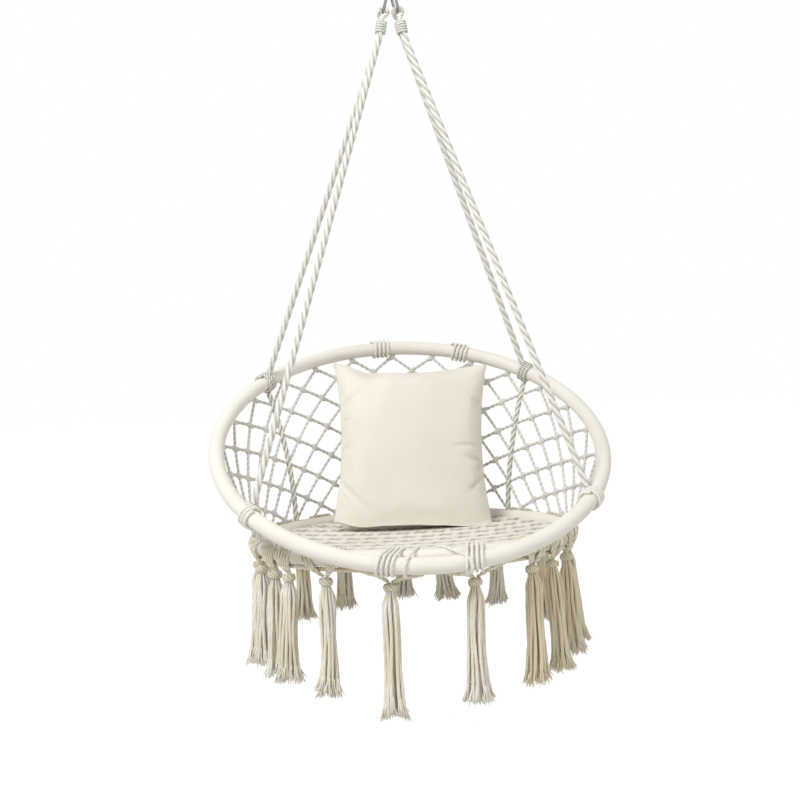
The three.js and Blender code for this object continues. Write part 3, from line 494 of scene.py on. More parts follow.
def tube_patch(rings, along, girth, hollow, looped=False):
    """Tubes as a patch of mesh. rings is [tube, ring, side, xyz]; along is the distance of each
    ring down its tube; girth is the distance round; hollow is how deep between strands, which
    the colour turns into painted shade."""
    tubes, count, sides = rings.shape[:3]
    cells, tube, corners_at = tube_cells(tubes, count, sides, looped)
    step = (along[:, -1] - along[:, 0]) / (count - 1)
    u = np.stack([along[tube, 0] + step[tube] * ring for ring, _ in corners_at], -1)
    v = np.stack([side / sides * girth for _, side in corners_at], -1)
    faces = cells.tolist()
    uv = [np.stack([u.ravel(), v.ravel()], -1)]
    if not looped:
        first = np.arange(tubes)[:, None] * count * sides
        near = first + np.arange(sides)[::-1]
        far = first + (count - 1) * sides + np.arange(sides)
        faces += near.tolist() + far.tolist()
        uv.append(np.zeros((2 * tubes * sides, 2)))
    points = rings.reshape(-1, 3)
    return {"points": points, "faces": faces, "uv": np.concatenate(uv), "hollow": hollow.ravel()}


def round_section(middle, reach, around, sideways, upwards):
    """Points round each point of a middle line: a reach at each angle, between two directions."""
    return (
        middle[..., None, :]
        + (reach * np.cos(around))[..., None] * sideways[..., None, :]
        + (reach * np.sin(around))[..., None] * upwards[..., None, :]
    )


def aged(patch, share):
    """The same patch with its colour moved by a share to a greyer, yellower tone, one number or one for
    each point. On the fringe at the front this share also stands for painted shadow.
    """
    patch["tone_and_shade"] = np.broadcast_to(np.asarray(share, float), len(patch["points"]))
    return patch


def deeper(patch, times):
    """The same patch with more painted shade marked between its strands."""
    patch["hollow"] = np.clip(times * patch["hollow"], 0, 1)
    return patch


def joined(patches):
    """Several patches as one."""
    start, faces = 0, []
    for patch in patches:
        faces += [[corner + start for corner in face] for face in patch["faces"]]
        start += len(patch["points"])
    kept = ["points", "uv", "hollow"] + ["tone_and_shade"] * ("tone_and_shade" in patches[0])
    return {"faces": faces, **{key: np.concatenate([patch[key] for patch in patches]) for key in kept}}


def piece(name, patch, material, node, body="chair"):
    """Makes the mesh, turns its faces outwards, and lets it ride and stand for its CAD node."""
    mesh = bpy.data.meshes.new(name)
    mesh.from_pydata(patch["points"].tolist(), [], patch["faces"])
    layer = mesh.uv_layers.new(name="UVMap")
    layer.data.foreach_set("uv", patch["uv"].astype(np.float32).ravel())
    mark(mesh, "painted_shade", patch["hollow"])
    if "tone_and_shade" in patch:
        mark(mesh, "tone_and_shade", patch["tone_and_shade"])
    mesh.materials.append(material)
    mesh.shade_smooth()
    mesh.update()
    corner = np.array([face[:3] for face in patch["faces"]])
    a, b, c = (patch["points"][corner[:, k]] for k in range(3))
    if np.einsum("ij,ij->", a, np.cross(b, c)) < 0:
        mesh.flip_normals()
    made = new_object(name, mesh)
    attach(made, body)
    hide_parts(node)
    print(name, len(patch["faces"]), "faces")


# %% [markdown]
# ## Cord
# A laid cord is two or more strands twisted round each other. Cut across, its outline is that
# of as many overlapping circles, and the outline turns as it goes along the cord. Its frame is
# taken from a guide direction at each ring, never from the ring before, so a whole path is
# worked out at once.

# %% Cord helpers


def unit(vectors):
    """Each vector divided by its own length."""
    return vectors / np.linalg.norm(vectors, axis=-1, keepdims=True)


def distances(path):
    """Distance from the start of each path to each of its points."""
    steps = np.linalg.norm(np.diff(path, axis=-2), axis=-1)
    return np.concatenate([np.zeros(steps.shape[:-1] + (1,)), np.cumsum(steps, -1)], -1)


def ring_frames(path, guide):
    """Two directions square to the path at each point: guide x tangent, and tangent x that."""
    tangent = unit(np.gradient(path, axis=-2))
    across = unit(np.cross(np.broadcast_to(guide, path.shape), tangent))
    return across, np.cross(tangent, across)


def strand_outline(angle, strands, soft):
    """Outline of equal circles set round the middle, as a share of the cord's radius: to the
    nearest circle's middle the angle is t, and the reach is d cos t + sqrt(r^2 - d^2 sin^2 t)."""
    far = 1 - soft
    turn = 2 * math.pi / strands
    nearest = (angle + turn / 2) % turn - turn / 2
    return far * np.cos(nearest) + np.sqrt(np.maximum(soft**2 - (far * np.sin(nearest)) ** 2, 0.0))


def laid_cord(path, guide, diameter, strands, lay, sides, soft=0.58, swell=None, hand=1.0):
    """Carries the outline along the path, turned once in each lay. swell scales each ring."""
    path = path if path.ndim == 3 else path[None]
    along = distances(path)
    across, upward = ring_frames(path, guide)
    around = 2 * math.pi * np.arange(sides) / sides
    turned = around - hand * 2 * math.pi * along[..., None] / lay
    share = strand_outline(turned, strands, soft)
    reach = share * diameter / 2
    if swell is not None:
        reach = reach * swell[..., None]
    rings = round_section(path, reach, around, across, upward)
    lowest = strand_outline(np.array(math.pi / strands), strands, soft)
    # How deep between strands each point lies, 0 to 1, which the colour turns into painted shade.
    hollow = (1 - share) / (1 - lowest)
    return tube_patch(rings, along, math.pi * diameter, hollow)


def softened(stations, step, soften):
    """A path through stations, evenly spaced, with its corners rounded by a running mean."""
    stations = np.asarray(stations, float)
    far = distances(stations)
    count = max(int(round(far[-1] / step)), 8) + 1
    even = np.linspace(0, far[-1], count)
    path = np.stack([np.interp(even, far, stations[:, k]) for k in range(3)], -1)
    half = max(int(round(soften / step / 2)), 1)
    before = 2 * path[:1] - path[half:0:-1]
    after = 2 * path[-1:] - path[-2 : -half - 2 : -1]
    padded = np.concatenate([before, path, after])
    window = np.ones(2 * half + 1) / (2 * half + 1)
    return np.stack([np.convolve(padded[:, k], window, "valid") for k in range(3)], -1)


# %% [markdown]
# ## Hoops
# Each hoop is a circle of steel tube in a padded sleeve. The sleeve is a long strip of canvas
# sewn up on its underside, so its section is round with one shallow seam, and the canvas puckers
# a little along that seam. The tubes stay as the CAD made them, hidden inside.

# %% Hoop circles
sleeve_radius = 0.015
fit = 0.0003


class Hoop:
    """A circle with a centre and a radius, tilted about the X axis. Angles run from the front
    round by the right side: outward is (sin a, -cos a cos t, -cos a sin t)."""

    def __init__(self, centre, radius, tilt):
        self.centre = np.array(centre)
        self.radius = radius
        self.tilt = tilt
        self.axis = np.array([0.0, -math.sin(tilt), math.cos(tilt)])

    def outward(self, angle):
        """The direction from the centre to the rim at an angle."""
        back = -np.cos(angle)
        return np.stack([np.sin(angle), back * math.cos(self.tilt), back * math.sin(self.tilt)], -1)

    def tangent(self, angle):
        """The direction along the rim at an angle."""
        rise = np.sin(angle)
        return np.stack([np.cos(angle), rise * math.cos(self.tilt), rise * math.sin(self.tilt)], -1)

    def point(self, angle):
        """The point on the rim's middle line at an angle."""
        return self.centre + self.radius * self.outward(angle)


nearly_nothing = 1e-9


def clear_of(points, hoop, reach, where=True):
    """Moves points that lie within reach of the rim's middle line straight out to that reach,
    all of them or only where it is said."""
    offset = points - hoop.centre
    height = offset @ hoop.axis
    flat = offset - height[..., None] * hoop.axis
    flat_length = np.linalg.norm(flat, axis=-1, keepdims=True)
    core = hoop.centre + hoop.radius * flat / np.maximum(flat_length, nearly_nothing)
    out = points - core
    far = np.linalg.norm(out, axis=-1)
    near = (far < reach) & where
    scale = np.where(near, reach / np.maximum(far, nearly_nothing), 1.0)
    return core + out * scale[..., None]


back_hoop_radius = 0.385
seat_hoop_radius = 0.310
back_hoop = Hoop((0.0, -0.031, -0.974), back_hoop_radius, math.radians(31))
seat_rise = math.radians(19)
hoops_apart = 2 * sleeve_radius + fit
seat_centre = back_hoop.point(np.array(0.0)) + [
    0.0,
    hoops_apart * math.cos(seat_rise) + seat_hoop_radius,
    hoops_apart * math.sin(seat_rise),
]
seat_hoop = Hoop(seat_centre, seat_hoop_radius, 0.0)
print("seat hoop centre", seat_centre.round(4))


def clear_of_sleeves(patch):
    """The same patch with its points moved out of both hoops' sleeves."""
    for hoop in (back_hoop, seat_hoop):
        patch["points"] = clear_of(patch["points"], hoop, sleeve_radius + fit)
    return patch


# %% Sleeves
seam_width = math.radians(7)
seam_depth = 0.0011
pucker_depth = 0.0003
padding_depth = 0.00012


def sleeve_patch(hoop, shade_and_yellowing, rings=520, sides=40):
    """A ring of radius r(a, b) round the rim: the seam is a narrow dip at b = -90 degrees, and
    puckers fade out away from it. Slow waves along the hoop stand for uneven padding. The seam's
    dip is painted darker, as painted shade. Below and a little outwards it is darkened by a share
    that goes as (-sin(b - 0.5))^0.5, in long blotches: painted shade under the hoop, with slight
    yellowing."""
    angle = 2 * math.pi * np.arange(rings) / rings
    around = -math.pi / 2 + 2 * math.pi * np.arange(sides) / sides
    from_seam = np.abs((around + math.pi / 2 + math.pi) % (2 * math.pi) - math.pi)
    seam = np.exp(-((from_seam / seam_width) ** 2))
    pucker = np.exp(-((from_seam / (4 * seam_width)) ** 2))
    waves = np.sin(61 * angle) + 0.7 * np.sin(97 * angle + 1.3) + 0.5 * np.sin(149 * angle + 0.4)
    slow = np.sin(5 * angle + 0.6) + 0.6 * np.sin(11 * angle + 2.0) + 0.4 * np.sin(23 * angle)
    reach = (
        sleeve_radius
        - seam_depth * seam[None]
        + pucker_depth * waves[:, None] * pucker[None] * 0.4
        + padding_depth * slow[:, None] * np.cos(2 * around + 0.7)[None]
    )
    rings_at = round_section(hoop.point(angle), reach, around, hoop.outward(angle), hoop.axis)
    along = (hoop.radius * angle)[None]
    # Painted shade in the seam's dip, and painted shade under the hoop with slight yellowing, in long
    # blotches.
    blotches = 0.75 + 0.25 * np.sin(17 * angle + 0.4) * np.sin(41 * angle)
    under = blotches[:, None] * np.sqrt(np.clip(-np.sin(around - 0.5), 0, 1))[None]
    hollow = seam * 0.5 + shade_and_yellowing * under
    return tube_patch(rings_at[None], along, 2 * math.pi * sleeve_radius, hollow, looped=True)


for word, hoop, shade_and_yellowing in (("back", back_hoop, 0.06), ("seat", seat_hoop, 0.5)):
    sleeve = sleeve_patch(hoop, shade_and_yellowing)
    piece(f"{word}_hoop_cover", sleeve, sleeve_canvas, f"{word}_hoop_sleeve")
    dress(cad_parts[f"{word}_hoop_tube"], drawn_steel)

# %% [markdown]
# ## Rings and rope eyes
# Two welded rings hang on the snap hook. A short eye of rope goes round the wire of each and
# is bound to the tops of the two ropes below it.

# %% Rings
hook_bend_low = -0.050
ring_radius = 0.022
ring_wire = 0.003
ring_spread = math.radians(22)
ring_lean = math.radians(16)
ring_reach = 0.008393
weld_place, weld_width, weld_swell = math.pi / 2, 0.09, 0.05
front_to_back = np.array([0.0, 1.0, 0.0])


def ring_down(side):
    """The direction from a ring's top to its bottom."""
    return np.array([side * math.sin(ring_lean), 0.0, -math.cos(ring_lean)])


def ring_top(side):
    """Where the middle of a ring's wire bears on the hook's bottom bend."""
    aside = side * ring_reach * math.sin(ring_spread)
    return np.array([aside, 0.0, hook_bend_low - ring_reach * math.cos(ring_spread)])


def ring_patch(side, rings=96, sides=20):
    """A circle of round wire in the plane of its own lean and the Y axis, with a weld swelling."""
    centre = ring_top(side) + ring_radius * ring_down(side)
    angle = 2 * math.pi * np.arange(rings) / rings
    around = 2 * math.pi * np.arange(sides) / sides
    outward = np.cos(angle)[:, None] * ring_down(side) + np.sin(angle)[:, None] * front_to_back
    axis = np.cross(ring_down(side), front_to_back)
    weld = np.exp(-(((angle - weld_place) / weld_width) ** 2))
    reach = ring_wire * (1 + weld_swell * weld)[:, None] * np.ones(sides)
    rings_at = round_section(centre + ring_radius * outward, reach, around, outward, axis)
    along = (ring_radius * angle)[None]
    return tube_patch(rings_at[None], along, 2 * math.pi * ring_wire, reach * 0, looped=True)


sides_of_chair = (("left", -1), ("right", 1))
for word, side in sides_of_chair:
    piece(f"{word}_steel_ring", ring_patch(side), bright_steel, f"{word}_ring", body="rings")
for name in ("hook_body", "hook_gate", "gate_pin"):
    dress(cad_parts[name], bright_steel)

# %% Rope eyes
rope_diameter = 0.014
eye_diameter = 0.010
eye_lean = math.radians(10)
leg_offset = 0.0073
eye_half = 0.0095
eye_top = 0.0083
eye_leg_length = 0.026
eye_curl = 0.014
eye_middle_drop = 0.004
forward = np.array([0.0, -1.0, 0.0])


def eye_axis(side):
    """The direction in which an eye and the tops of its ropes hang."""
    return np.array([side * math.sin(eye_lean), 0.0, -math.cos(eye_lean)])


def eye_across(side):
    """The direction across an eye, square to its axis and to forward."""
    return np.array([math.cos(eye_lean), 0.0, side * math.sin(eye_lean)])


def ring_bottom(side):
    """Where an eye goes round a ring's wire."""
    return ring_top(side) + 2 * ring_radius * ring_down(side)


def eye_stations(side):
    """Up one leg, over the wire in half an oval, and down the other, each leg turning a quarter
    round as it comes down, from beside the wire to in front of it or behind it."""
    down, across = eye_axis(side), eye_across(side)

    def leg(turn):
        share = np.linspace(0, 1, 7)[:, None]
        reach = eye_half + (leg_offset - eye_half) * share
        angle = share * math.pi / 2
        aside = np.cos(angle) * across + np.sin(angle) * forward
        curl = turn * reach * aside + share * eye_curl * down
        foot = eye_leg_length * down + turn * leg_offset * forward
        return np.concatenate([curl, foot[None]])

    arc = np.linspace(0, math.pi, 13)[1:-1, None]
    over = eye_half * np.cos(arc) * across - eye_top * np.sin(arc) * down
    return ring_bottom(side) + np.concatenate([leg(1)[::-1], over, leg(-1)])


for word, side in sides_of_chair:
    path = softened(eye_stations(side), step=0.0012, soften=0.004)
    # The guide points away from the eye's middle, with a nudge, so it never lies along the path.
    nudge = eye_axis(side) * 0.2 + front_to_back * 0.3 + eye_across(side) * 0.05
    middle = ring_bottom(side) + eye_middle_drop * eye_axis(side)
    guide = unit(path - middle) + nudge * 0.01
    eye = laid_cord(path, guide, eye_diameter, strands=3, lay=0.045, sides=18)
    piece(f"{word}_eye_rope", eye, binding_cotton, f"{word}_rope_eye")

# %% [markdown]
# ## Windings
# Knots, wraps and lashings are one cord wound round a core. The core is one circle or two side
# by side, so a lap is a circle or a stadium: half circles joined by two straight runs.

# %% Winding helpers
winding_gap = 0.001
turn_lay = 3.4


def lap_points(centre, along, axis, span, radius, share):
    """A place on a lap, for each share of a lap. The lap starts on the straight run, halfway."""
    across = unit(np.cross(axis, along))
    arc = math.pi * radius
    run = (share % 1.0) * 2 * (span + arc)
    half = span / 2
    first = (run - half) / radius
    second = (run - half - arc - span) / radius
    cases = [run < half, run < half + arc, run < half + arc + span, run < half + 2 * arc + span]
    aside = [radius, radius * np.cos(first), -radius, -radius * np.cos(second)]
    back = half - (run - half - arc)
    onward = [run, half + radius * np.sin(first), back, -half - radius * np.sin(second)]
    sideways = np.select(cases, aside, radius)
    lengthways = np.select(cases, onward, run - 2 * (span + arc))
    return centre + sideways[..., None] * across + lengthways[..., None] * along


def wound(frame_at, core, diameter, turns, steps=44, sides=12, strands=3, soft=0.72, pitch=None):
    """A cord wound round the core that frame_at gives for each offset along it, one pitch on in
    each turn. It starts and ends half a lap on from where a lap starts."""
    share = np.linspace(0, turns, turns * steps + 1)
    offset = (share - turns / 2) * (pitch or diameter + winding_gap)
    centre, along, axis, span = frame_at(offset)
    path = lap_points(centre, along, axis, span, core + fit + diameter / 2, share + 0.5)
    lay = turn_lay * diameter
    return laid_cord(path, path - centre, diameter, strands, lay, sides, soft=soft)


def around_hoop(hoop, angle):
    """The frame of a winding round one hoop."""

    def frame_at(offset):
        here = angle + offset / hoop.radius
        return hoop.point(here), hoop.outward(here), hoop.tangent(here), 0.0 * offset

    return frame_at


# %% Top wraps
wrap_start, wrap_turns, wrap_cord = 0.019, 5, 0.004


def around_ropes(side):
    """The frame of a winding round two ropes that hang side by side, front and rear."""
    middle = wrap_start + wrap_turns * (wrap_cord + winding_gap) / 2

    def frame_at(offset):
        centre = ring_bottom(side) + (middle + offset)[:, None] * eye_axis(side)
        along = np.broadcast_to(forward, centre.shape)
        axis = np.broadcast_to(eye_axis(side), centre.shape)
        return centre, along, axis, 2 * leg_offset + 0.0 * offset

    return frame_at


for word, side in sides_of_chair:
    wrap = wound(around_ropes(side), rope_diameter / 2, wrap_cord, wrap_turns, strands=2, sides=10)
    piece(f"{word}_rope_wrap", wrap, binding_cotton, f"{word}_top_wrap")

# %% [markdown]
# ## Hanging ropes and their knots
# Four ropes of three strands come down from the rings to the big hoop. Each ends in a knot of three
# turns round the hoop, with more painted shade between its strands at the rear than at the front,
# and a thinner support goes on from there down to the seat hoop. The ends follow what they bear
# on: any point nearer to a hoop's middle line than the knot or the sleeve reaches is moved out to it.

# %% Hanging ropes
net_cells = 26
column_angle = math.pi / net_cells
rope_columns = {"front": 8, "rear": 19}
knot_cord, knot_turns = 0.007, 3
knot_reach = sleeve_radius + fit + knot_cord
rope_bend, rope_end_gap = 0.022, 0.002


def hanging_rope(side, place_word):
    """From the eye's foot through the wrap, round a soft bend, and straight to the hoop's knot."""
    turn = 1 if place_word == "front" else -1
    start = ring_bottom(side) + eye_axis(side) * (eye_leg_length + fit) + turn * leg_offset * forward
    bend = start + rope_bend * eye_axis(side)
    end = back_hoop.point(np.array(side * rope_columns[place_word] * column_angle))
    line = unit(end - bend)
    end = end - (knot_reach - rope_end_gap) * line
    path = softened([start, bend, end], step=0.0024, soften=0.022)
    rope = laid_cord(
        path, front_to_back, rope_diameter, strands=3, lay=0.074, sides=24, soft=0.56, hand=-1.0
    )
    rope["points"] = clear_of(rope["points"], back_hoop, knot_reach + fit)
    return rope


for word, side in sides_of_chair:
    for place_word in ("front", "rear"):
        name = f"{word}_{place_word}"
        rope = hanging_rope(side, place_word)
        piece(f"{name}_hanging_rope", rope, rope_cotton, f"{name}_rope")
        angle = side * rope_columns[place_word] * column_angle
        knot = wound(around_hoop(back_hoop, angle), sleeve_radius, knot_cord, knot_turns)
        # At the rear the knot gets more painted shade between its strands: the rope's darker shade
        # colour, marked deeper.
        knot_cotton = binding_cotton
        if place_word == "rear":
            knot_cotton = rope_cotton
            knot = deeper(knot, 1.8)
        piece(f"{name}_hoop_knot", knot, knot_cotton, f"{name}_knot")

# %% [markdown]
# ## Net
# The net hangs between the hoops in diamonds: every knot joins four cords, two from above and
# two below. A knot's place is a column, which is an angle round the hoops, and a row, which is
# a distance down from the big hoop. The cords pull the net in between the hoops, most where it
# is tallest.

# %% Net surface
row_height = 0.0325
knot_half = 0.0042
net_draw = 0.018


def net_direction(angle):
    """From the big hoop to the seat hoop at the same angle."""
    return unit(seat_hoop.point(angle) - back_hoop.point(angle))


def net_edge(hoop, angle):
    """From a hoop's middle line to a knot that touches the sleeve, along the net."""
    slant = np.sum(hoop.tangent(angle) * net_direction(angle), -1)
    return (sleeve_radius + fit) / np.sqrt(1 - slant**2) + knot_half


def net_height(angle):
    """How tall the net is at an angle, between its first and last knots."""
    whole = np.linalg.norm(seat_hoop.point(angle) - back_hoop.point(angle), axis=-1)
    return whole - net_edge(back_hoop, angle) - net_edge(seat_hoop, angle)


def height_at(column):
    """The net's height at one column, as a plain number."""
    return float(net_height(np.array(column * column_angle)))


def net_point(angle, share):
    """Down from the big hoop by a share of the height, drawn in by 4 s (1 - s)."""
    bow = net_draw * 4 * share * (1 - share) * net_height(angle) / net_height(np.array(math.pi))
    down = net_edge(back_hoop, angle) + share * net_height(angle)
    return (
        back_hoop.point(angle)
        + down[..., None] * net_direction(angle)
        - bow[..., None] * seat_hoop.outward(angle)
    )


# %% Net cords and knots
net_cord = 0.0072
crossing_share = 0.92
spindle_half, spindle_width = 0.0098, 0.0100
beside_hoop_knot = 0.0155
support_diameter = 0.012
darker_cord_share, darker_knot_share = 0.5, 0.25


def lattice(first, last):
    """Knots between two columns where ropes run: columns and rows of even sum, down to the seat."""
    column, row = np.meshgrid(np.arange(first + 1, last), np.arange(20), indexing="ij")
    left = net_height(column * column_angle) - row * row_height
    kept = ((column + row) % 2 == 0) & (left > -row_height / 2)
    column, row, left = column[kept], row[kept], left[kept]
    on_seat = (row > 0) & (left < row_height / 2)
    share = np.where(on_seat, 1.0, row * row_height / net_height(column * column_angle))
    return column, row, share, on_seat


def net_ends(first, last):
    """The two ends of every cord, as columns and shares of the height. A cord goes to the knot
    beside and below or above, or stops at a support, at a hoop knot or on the seat hoop."""
    column, row, share, on_seat = lattice(first, last)
    places = zip(column.tolist(), row.tolist())
    known = dict(zip(places, zip(share.tolist(), on_seat.tolist())))
    starts, ends = [], []
    for (c, r), (here, seated) in known.items():
        for sideways, downwards in ((1, 1), (-1, 1), (1, -1), (-1, -1)):
            there = known.get((c + sideways, r + downwards))
            if r + downwards < 0 or (seated and downwards > 0) or (there and downwards < 0):
                continue
            starts.append((c, here))
            if there:
                ends.append((c + sideways, there[0]))
            else:
                ends.append(cut_end(c, r, sideways, downwards, first, last))
    return np.array(starts, float), np.array(ends, float)


def share_down(column, row):
    """How far down the net a row is at a column, as a share, and never past the seat."""
    return min(row * row_height / height_at(column), 1.0)


def cut_end(c, r, sideways, downwards, first, last):
    """Where a cord without a knot at its far end stops."""
    reach = 1.0
    column, row = c + sideways, r + downwards
    if column in (first, last):
        angles = np.array([c, column]) * column_angle
        here, there = net_point(angles, np.array([share_down(c, r), share_down(column, row)]))
        away = there - here
        direction = net_direction(angles[1])
        apart = np.linalg.norm(away - (away @ direction) * direction)
        width = beside_hoop_knot if row == 0 else support_diameter / 2
        reach -= (width + fit) / apart
    here_left = height_at(c) - r * row_height
    there_left = height_at(column) - row * row_height
    if there_left < 0:
        reach = min(reach, (here_left + knot_half) / (here_left - there_left))
    end_column = c + reach * sideways
    depth = (r + reach * downwards) * row_height
    height = height_at(end_column)
    return end_column, min(depth / height, 1.0 + knot_half / height)


def towards_rear(column):
    """+1 or -1: the way round the hoops from a column to the rear one."""
    return np.where(column > 0, np.where(column > net_cells, -1.0, 1.0), -1.0)


def net_panel(first, last, rings=22, sides=8):
    """All the cords of a panel as one batch of tubes, and its knots as another. The cords that
    run down to the rear are whole and darker, and those that cross them thinner and paler. A
    knot is a spindle along the whole cord, thickest in its middle, with its turns' ridges."""
    starts, ends = net_ends(first, last)
    share = np.linspace(0, 1, rings)[None, :]
    column = starts[:, :1] + (ends - starts)[:, :1] * share
    height = starts[:, 1:] + (ends - starts)[:, 1:] * share
    path = net_point(column * column_angle, height)
    guide = seat_hoop.outward(column * column_angle) + 0.001
    whole = np.prod(ends - starts, axis=1) * towards_rear(starts[:, 0]) > 0
    full = np.broadcast_to(np.where(whole, 1.0, crossing_share)[:, None], path.shape[:2])
    cords = laid_cord(path, guide, net_cord, strands=2, lay=0.024, sides=sides, soft=0.66, swell=full)
    cords = aged(cords, np.repeat(np.where(whole, darker_cord_share, 0.0), rings * sides))
    column, row, share, _ = lattice(first, last)
    angle = column * column_angle
    middle = net_point(angle, share)
    a_little = 0.2
    angle_on = angle + a_little * towards_rear(column) * column_angle
    onward = net_point(angle_on, share + a_little * row_height / net_height(angle))
    lie = unit(unit(onward - middle) + 0.35 * net_direction(angle))
    out = seat_hoop.outward(angle)
    place_down = np.linspace(-1, 1, 13)
    spindle = middle[:, None] + (spindle_half * place_down)[None, :, None] * lie[:, None]
    swell = (1 - np.abs(place_down) ** 2.4) ** 0.6 + 0.2
    ridged = np.broadcast_to(swell, spindle.shape[:2])
    knots = laid_cord(
        spindle, out[:, None], spindle_width, strands=3, lay=0.012, sides=14, soft=0.76, swell=ridged
    )
    panel = joined([cords, aged(knots, darker_knot_share)])
    return clear_of_sleeves(panel), len(starts), len(row)


panels = {"back": (19, 33), "right": (8, 19), "left": (-19, -8)}
for word, (first, last) in panels.items():
    panel, cords_made, knots_made = net_panel(first, last)
    piece(f"{word}_diamonds", panel, net_cotton, f"{word}_net")
    print(word, "net:", cords_made, "cords,", knots_made, "knots")

# %% Supports
support_overlap = 0.014
for word, side in sides_of_chair:
    for place_word in ("front", "rear"):
        column = side * rope_columns[place_word]
        angle = column * column_angle
        beyond = support_overlap / height_at(column)
        share = np.linspace(-beyond, 1 + beyond, 120)
        path = net_point(np.full(120, angle), share)
        out = seat_hoop.outward(angle)
        # More painted shade between the support's strands.
        held = deeper(laid_cord(path, out, support_diameter, strands=3, lay=0.052, sides=20), 1.6)
        held["points"] = clear_of(held["points"], back_hoop, knot_reach + fit)
        held["points"] = clear_of(held["points"], seat_hoop, sleeve_radius + fit)
        name = f"{word}_{place_word}"
        piece(f"{name}_down_rope", held, rope_cotton, f"{name}_support")

# %% [markdown]
# ## Front lashings and lacings
# Where the hoops come together at the front, two lashings bind them, tied loosely, so that
# their turns slant, and one more turn lies beside each. A thin cord zigzags between the hoops on
# each side, where there is no room for diamonds.

# %% Lashings, back wraps and lacings
lashing_angle = math.radians(11)
lashing_cord, lashing_turns, lashing_pitch = 0.006, 4, 0.0092
lashing_slope = {"left": 0.40, "right": 0.14}
loose_turn = {"left": (math.radians(-5.6), 0.45), "right": (math.radians(5.2), -0.85)}
lacing_diameter = 0.005
lacing_columns = np.array([7, 6, 5, 4])
back_wrap_columns = {"left": 26.6, "right": 22.6}
back_wrap_turns, back_wrap_pitch = 4, 0.0096


def around_both(angle):
    """The frame of a winding round both hoops: seat points share their x with the hoop below."""

    def frame_at(offset):
        here = angle + offset / back_hoop.radius
        below = back_hoop.point(here)
        above = seat_hoop.point(np.arcsin(below[:, 0] / seat_hoop.radius))
        span = np.linalg.norm(above - below, axis=-1)
        return (below + above) / 2, unit(above - below), back_hoop.tangent(here), span

    return frame_at


def slanted_turns(angle, slope, turns):
    """Turns round both hoops, sheared along the hoops by a slope for each metre of height."""
    frame_at = around_both(angle)
    cord = wound(
        frame_at, sleeve_radius + fit, lashing_cord, turns,
        steps=72, sides=10, strands=2, soft=0.84, pitch=lashing_pitch,
    )
    middle, upward, onward, _ = (part[0] for part in frame_at(np.zeros(1)))
    height = (cord["points"] - middle) @ upward
    cord["points"] = cord["points"] + slope * height[:, None] * onward
    return clear_of_sleeves(cord)


def lacing_patch(side):
    """A thin cord that touches the big hoop and the seat hoop by turns."""
    angles = side * lacing_columns * column_angle
    stations = net_point(angles, np.array([0.0, 1.0, 0.0, 1.0]))
    stations[0] = back_hoop.point(angles[0])
    stations[-1] = seat_hoop.point(angles[-1])
    path = softened(stations, step=0.0016, soften=0.006)
    guide = np.array([0.0, 1.0, 0.3])
    return clear_of_sleeves(laid_cord(path, guide, lacing_diameter, strands=2, lay=0.02, sides=8))


for word, side in sides_of_chair:
    bound = slanted_turns(side * lashing_angle, lashing_slope[word], lashing_turns)
    lashing = joined([bound, slanted_turns(*loose_turn[word], 1)])
    piece(f"{word}_lashing", lashing, binding_cotton, f"{word}_front_lashing")
    wrap = wound(
        around_hoop(back_hoop, back_wrap_columns[word] * column_angle),
        sleeve_radius, lashing_cord, back_wrap_turns,
        sides=10, strands=2, soft=0.9, pitch=back_wrap_pitch,
    )
    piece(f"{word}_hoop_wrap", wrap, binding_cotton, f"{word}_back_wrap")
    piece(f"{word}_lacing", lacing_patch(side), net_cotton, f"{word}_front_lacing")

# %% [markdown]
# ## Woven seat
# Thick rows of cord cross the seat from side to side in a shallow dish. Between two rows run
# short slits, each as long as a stitch, set half a stitch apart from row to row. The seat is a
# height over a grid: the rows stand up, and the slits dive between them.

# %% Seat
seat_reach = 0.2938
seat_rim_share = 0.9985
seat_sag = 0.014
seat_drop = 0.002
seat_rows = 11
stitch_length = 0.038
seat_lines_per_row = 24
cords_in_row, cord_twist = 6, 0.0095
slit_width, shade_width, shade_aside = 0.15, 0.19, 0.05
top_flat, top_relief = 0.0006, 0.0066
under_flat, under_relief = 0.0012, 0.0042
lashing_reach = sleeve_radius + 2 * fit + lashing_cord
lashing_seat_angle = math.asin(math.sin(lashing_angle) * back_hoop_radius / seat_hoop_radius)


def stitches(x, y):
    """How high the seat stands, 1 on top of the rows and nearly 0 in the slits, and how much
    painted shade it gets, in the slits and a little aside of them. A slit runs under each stitch
    as cos^0.5 along it and exp(-(d / w)^2) across it, and wavers. The rows are round,
    (1 - t^4)^0.5, and each is laid from six cords."""
    row_width = 2 * seat_reach / seat_rows
    place = (y + seat_reach) / row_width
    slit = np.round(place)
    drift = 0.17 * np.sin(2.3 * slit) + 0.11 * np.sin(5.1 * slit + 1)
    along = (x / stitch_length + 0.5 * (slit % 2) + drift + 0.5) % 1.0 - 0.5
    waver = 0.09 * np.sin(4 * math.pi * along + slit) + 0.04 * np.sin(90 * x + 3 * slit)
    opened = np.sqrt(np.maximum(np.cos(math.pi * along), 0.0))
    across_slit = place - slit + waver
    from_row = place - np.floor(place) - 0.5
    across = np.sqrt(np.maximum(1 - (2 * from_row) ** 4, 0.0))
    cords = 0.05 * np.cos(2 * math.pi * cords_in_row * from_row)
    twist = 0.03 * np.sin(2 * math.pi * (x / cord_twist + 2 * from_row))
    deep = opened * np.exp(-((across_slit / slit_width) ** 2))
    slit_shade = opened * np.exp(-(((across_slit - shade_aside) / shade_width) ** 2))
    return np.clip((0.70 + 0.22 * across + (cords + twist)) * (1 - 0.95 * deep), 0.0, 1.0), slit_shade


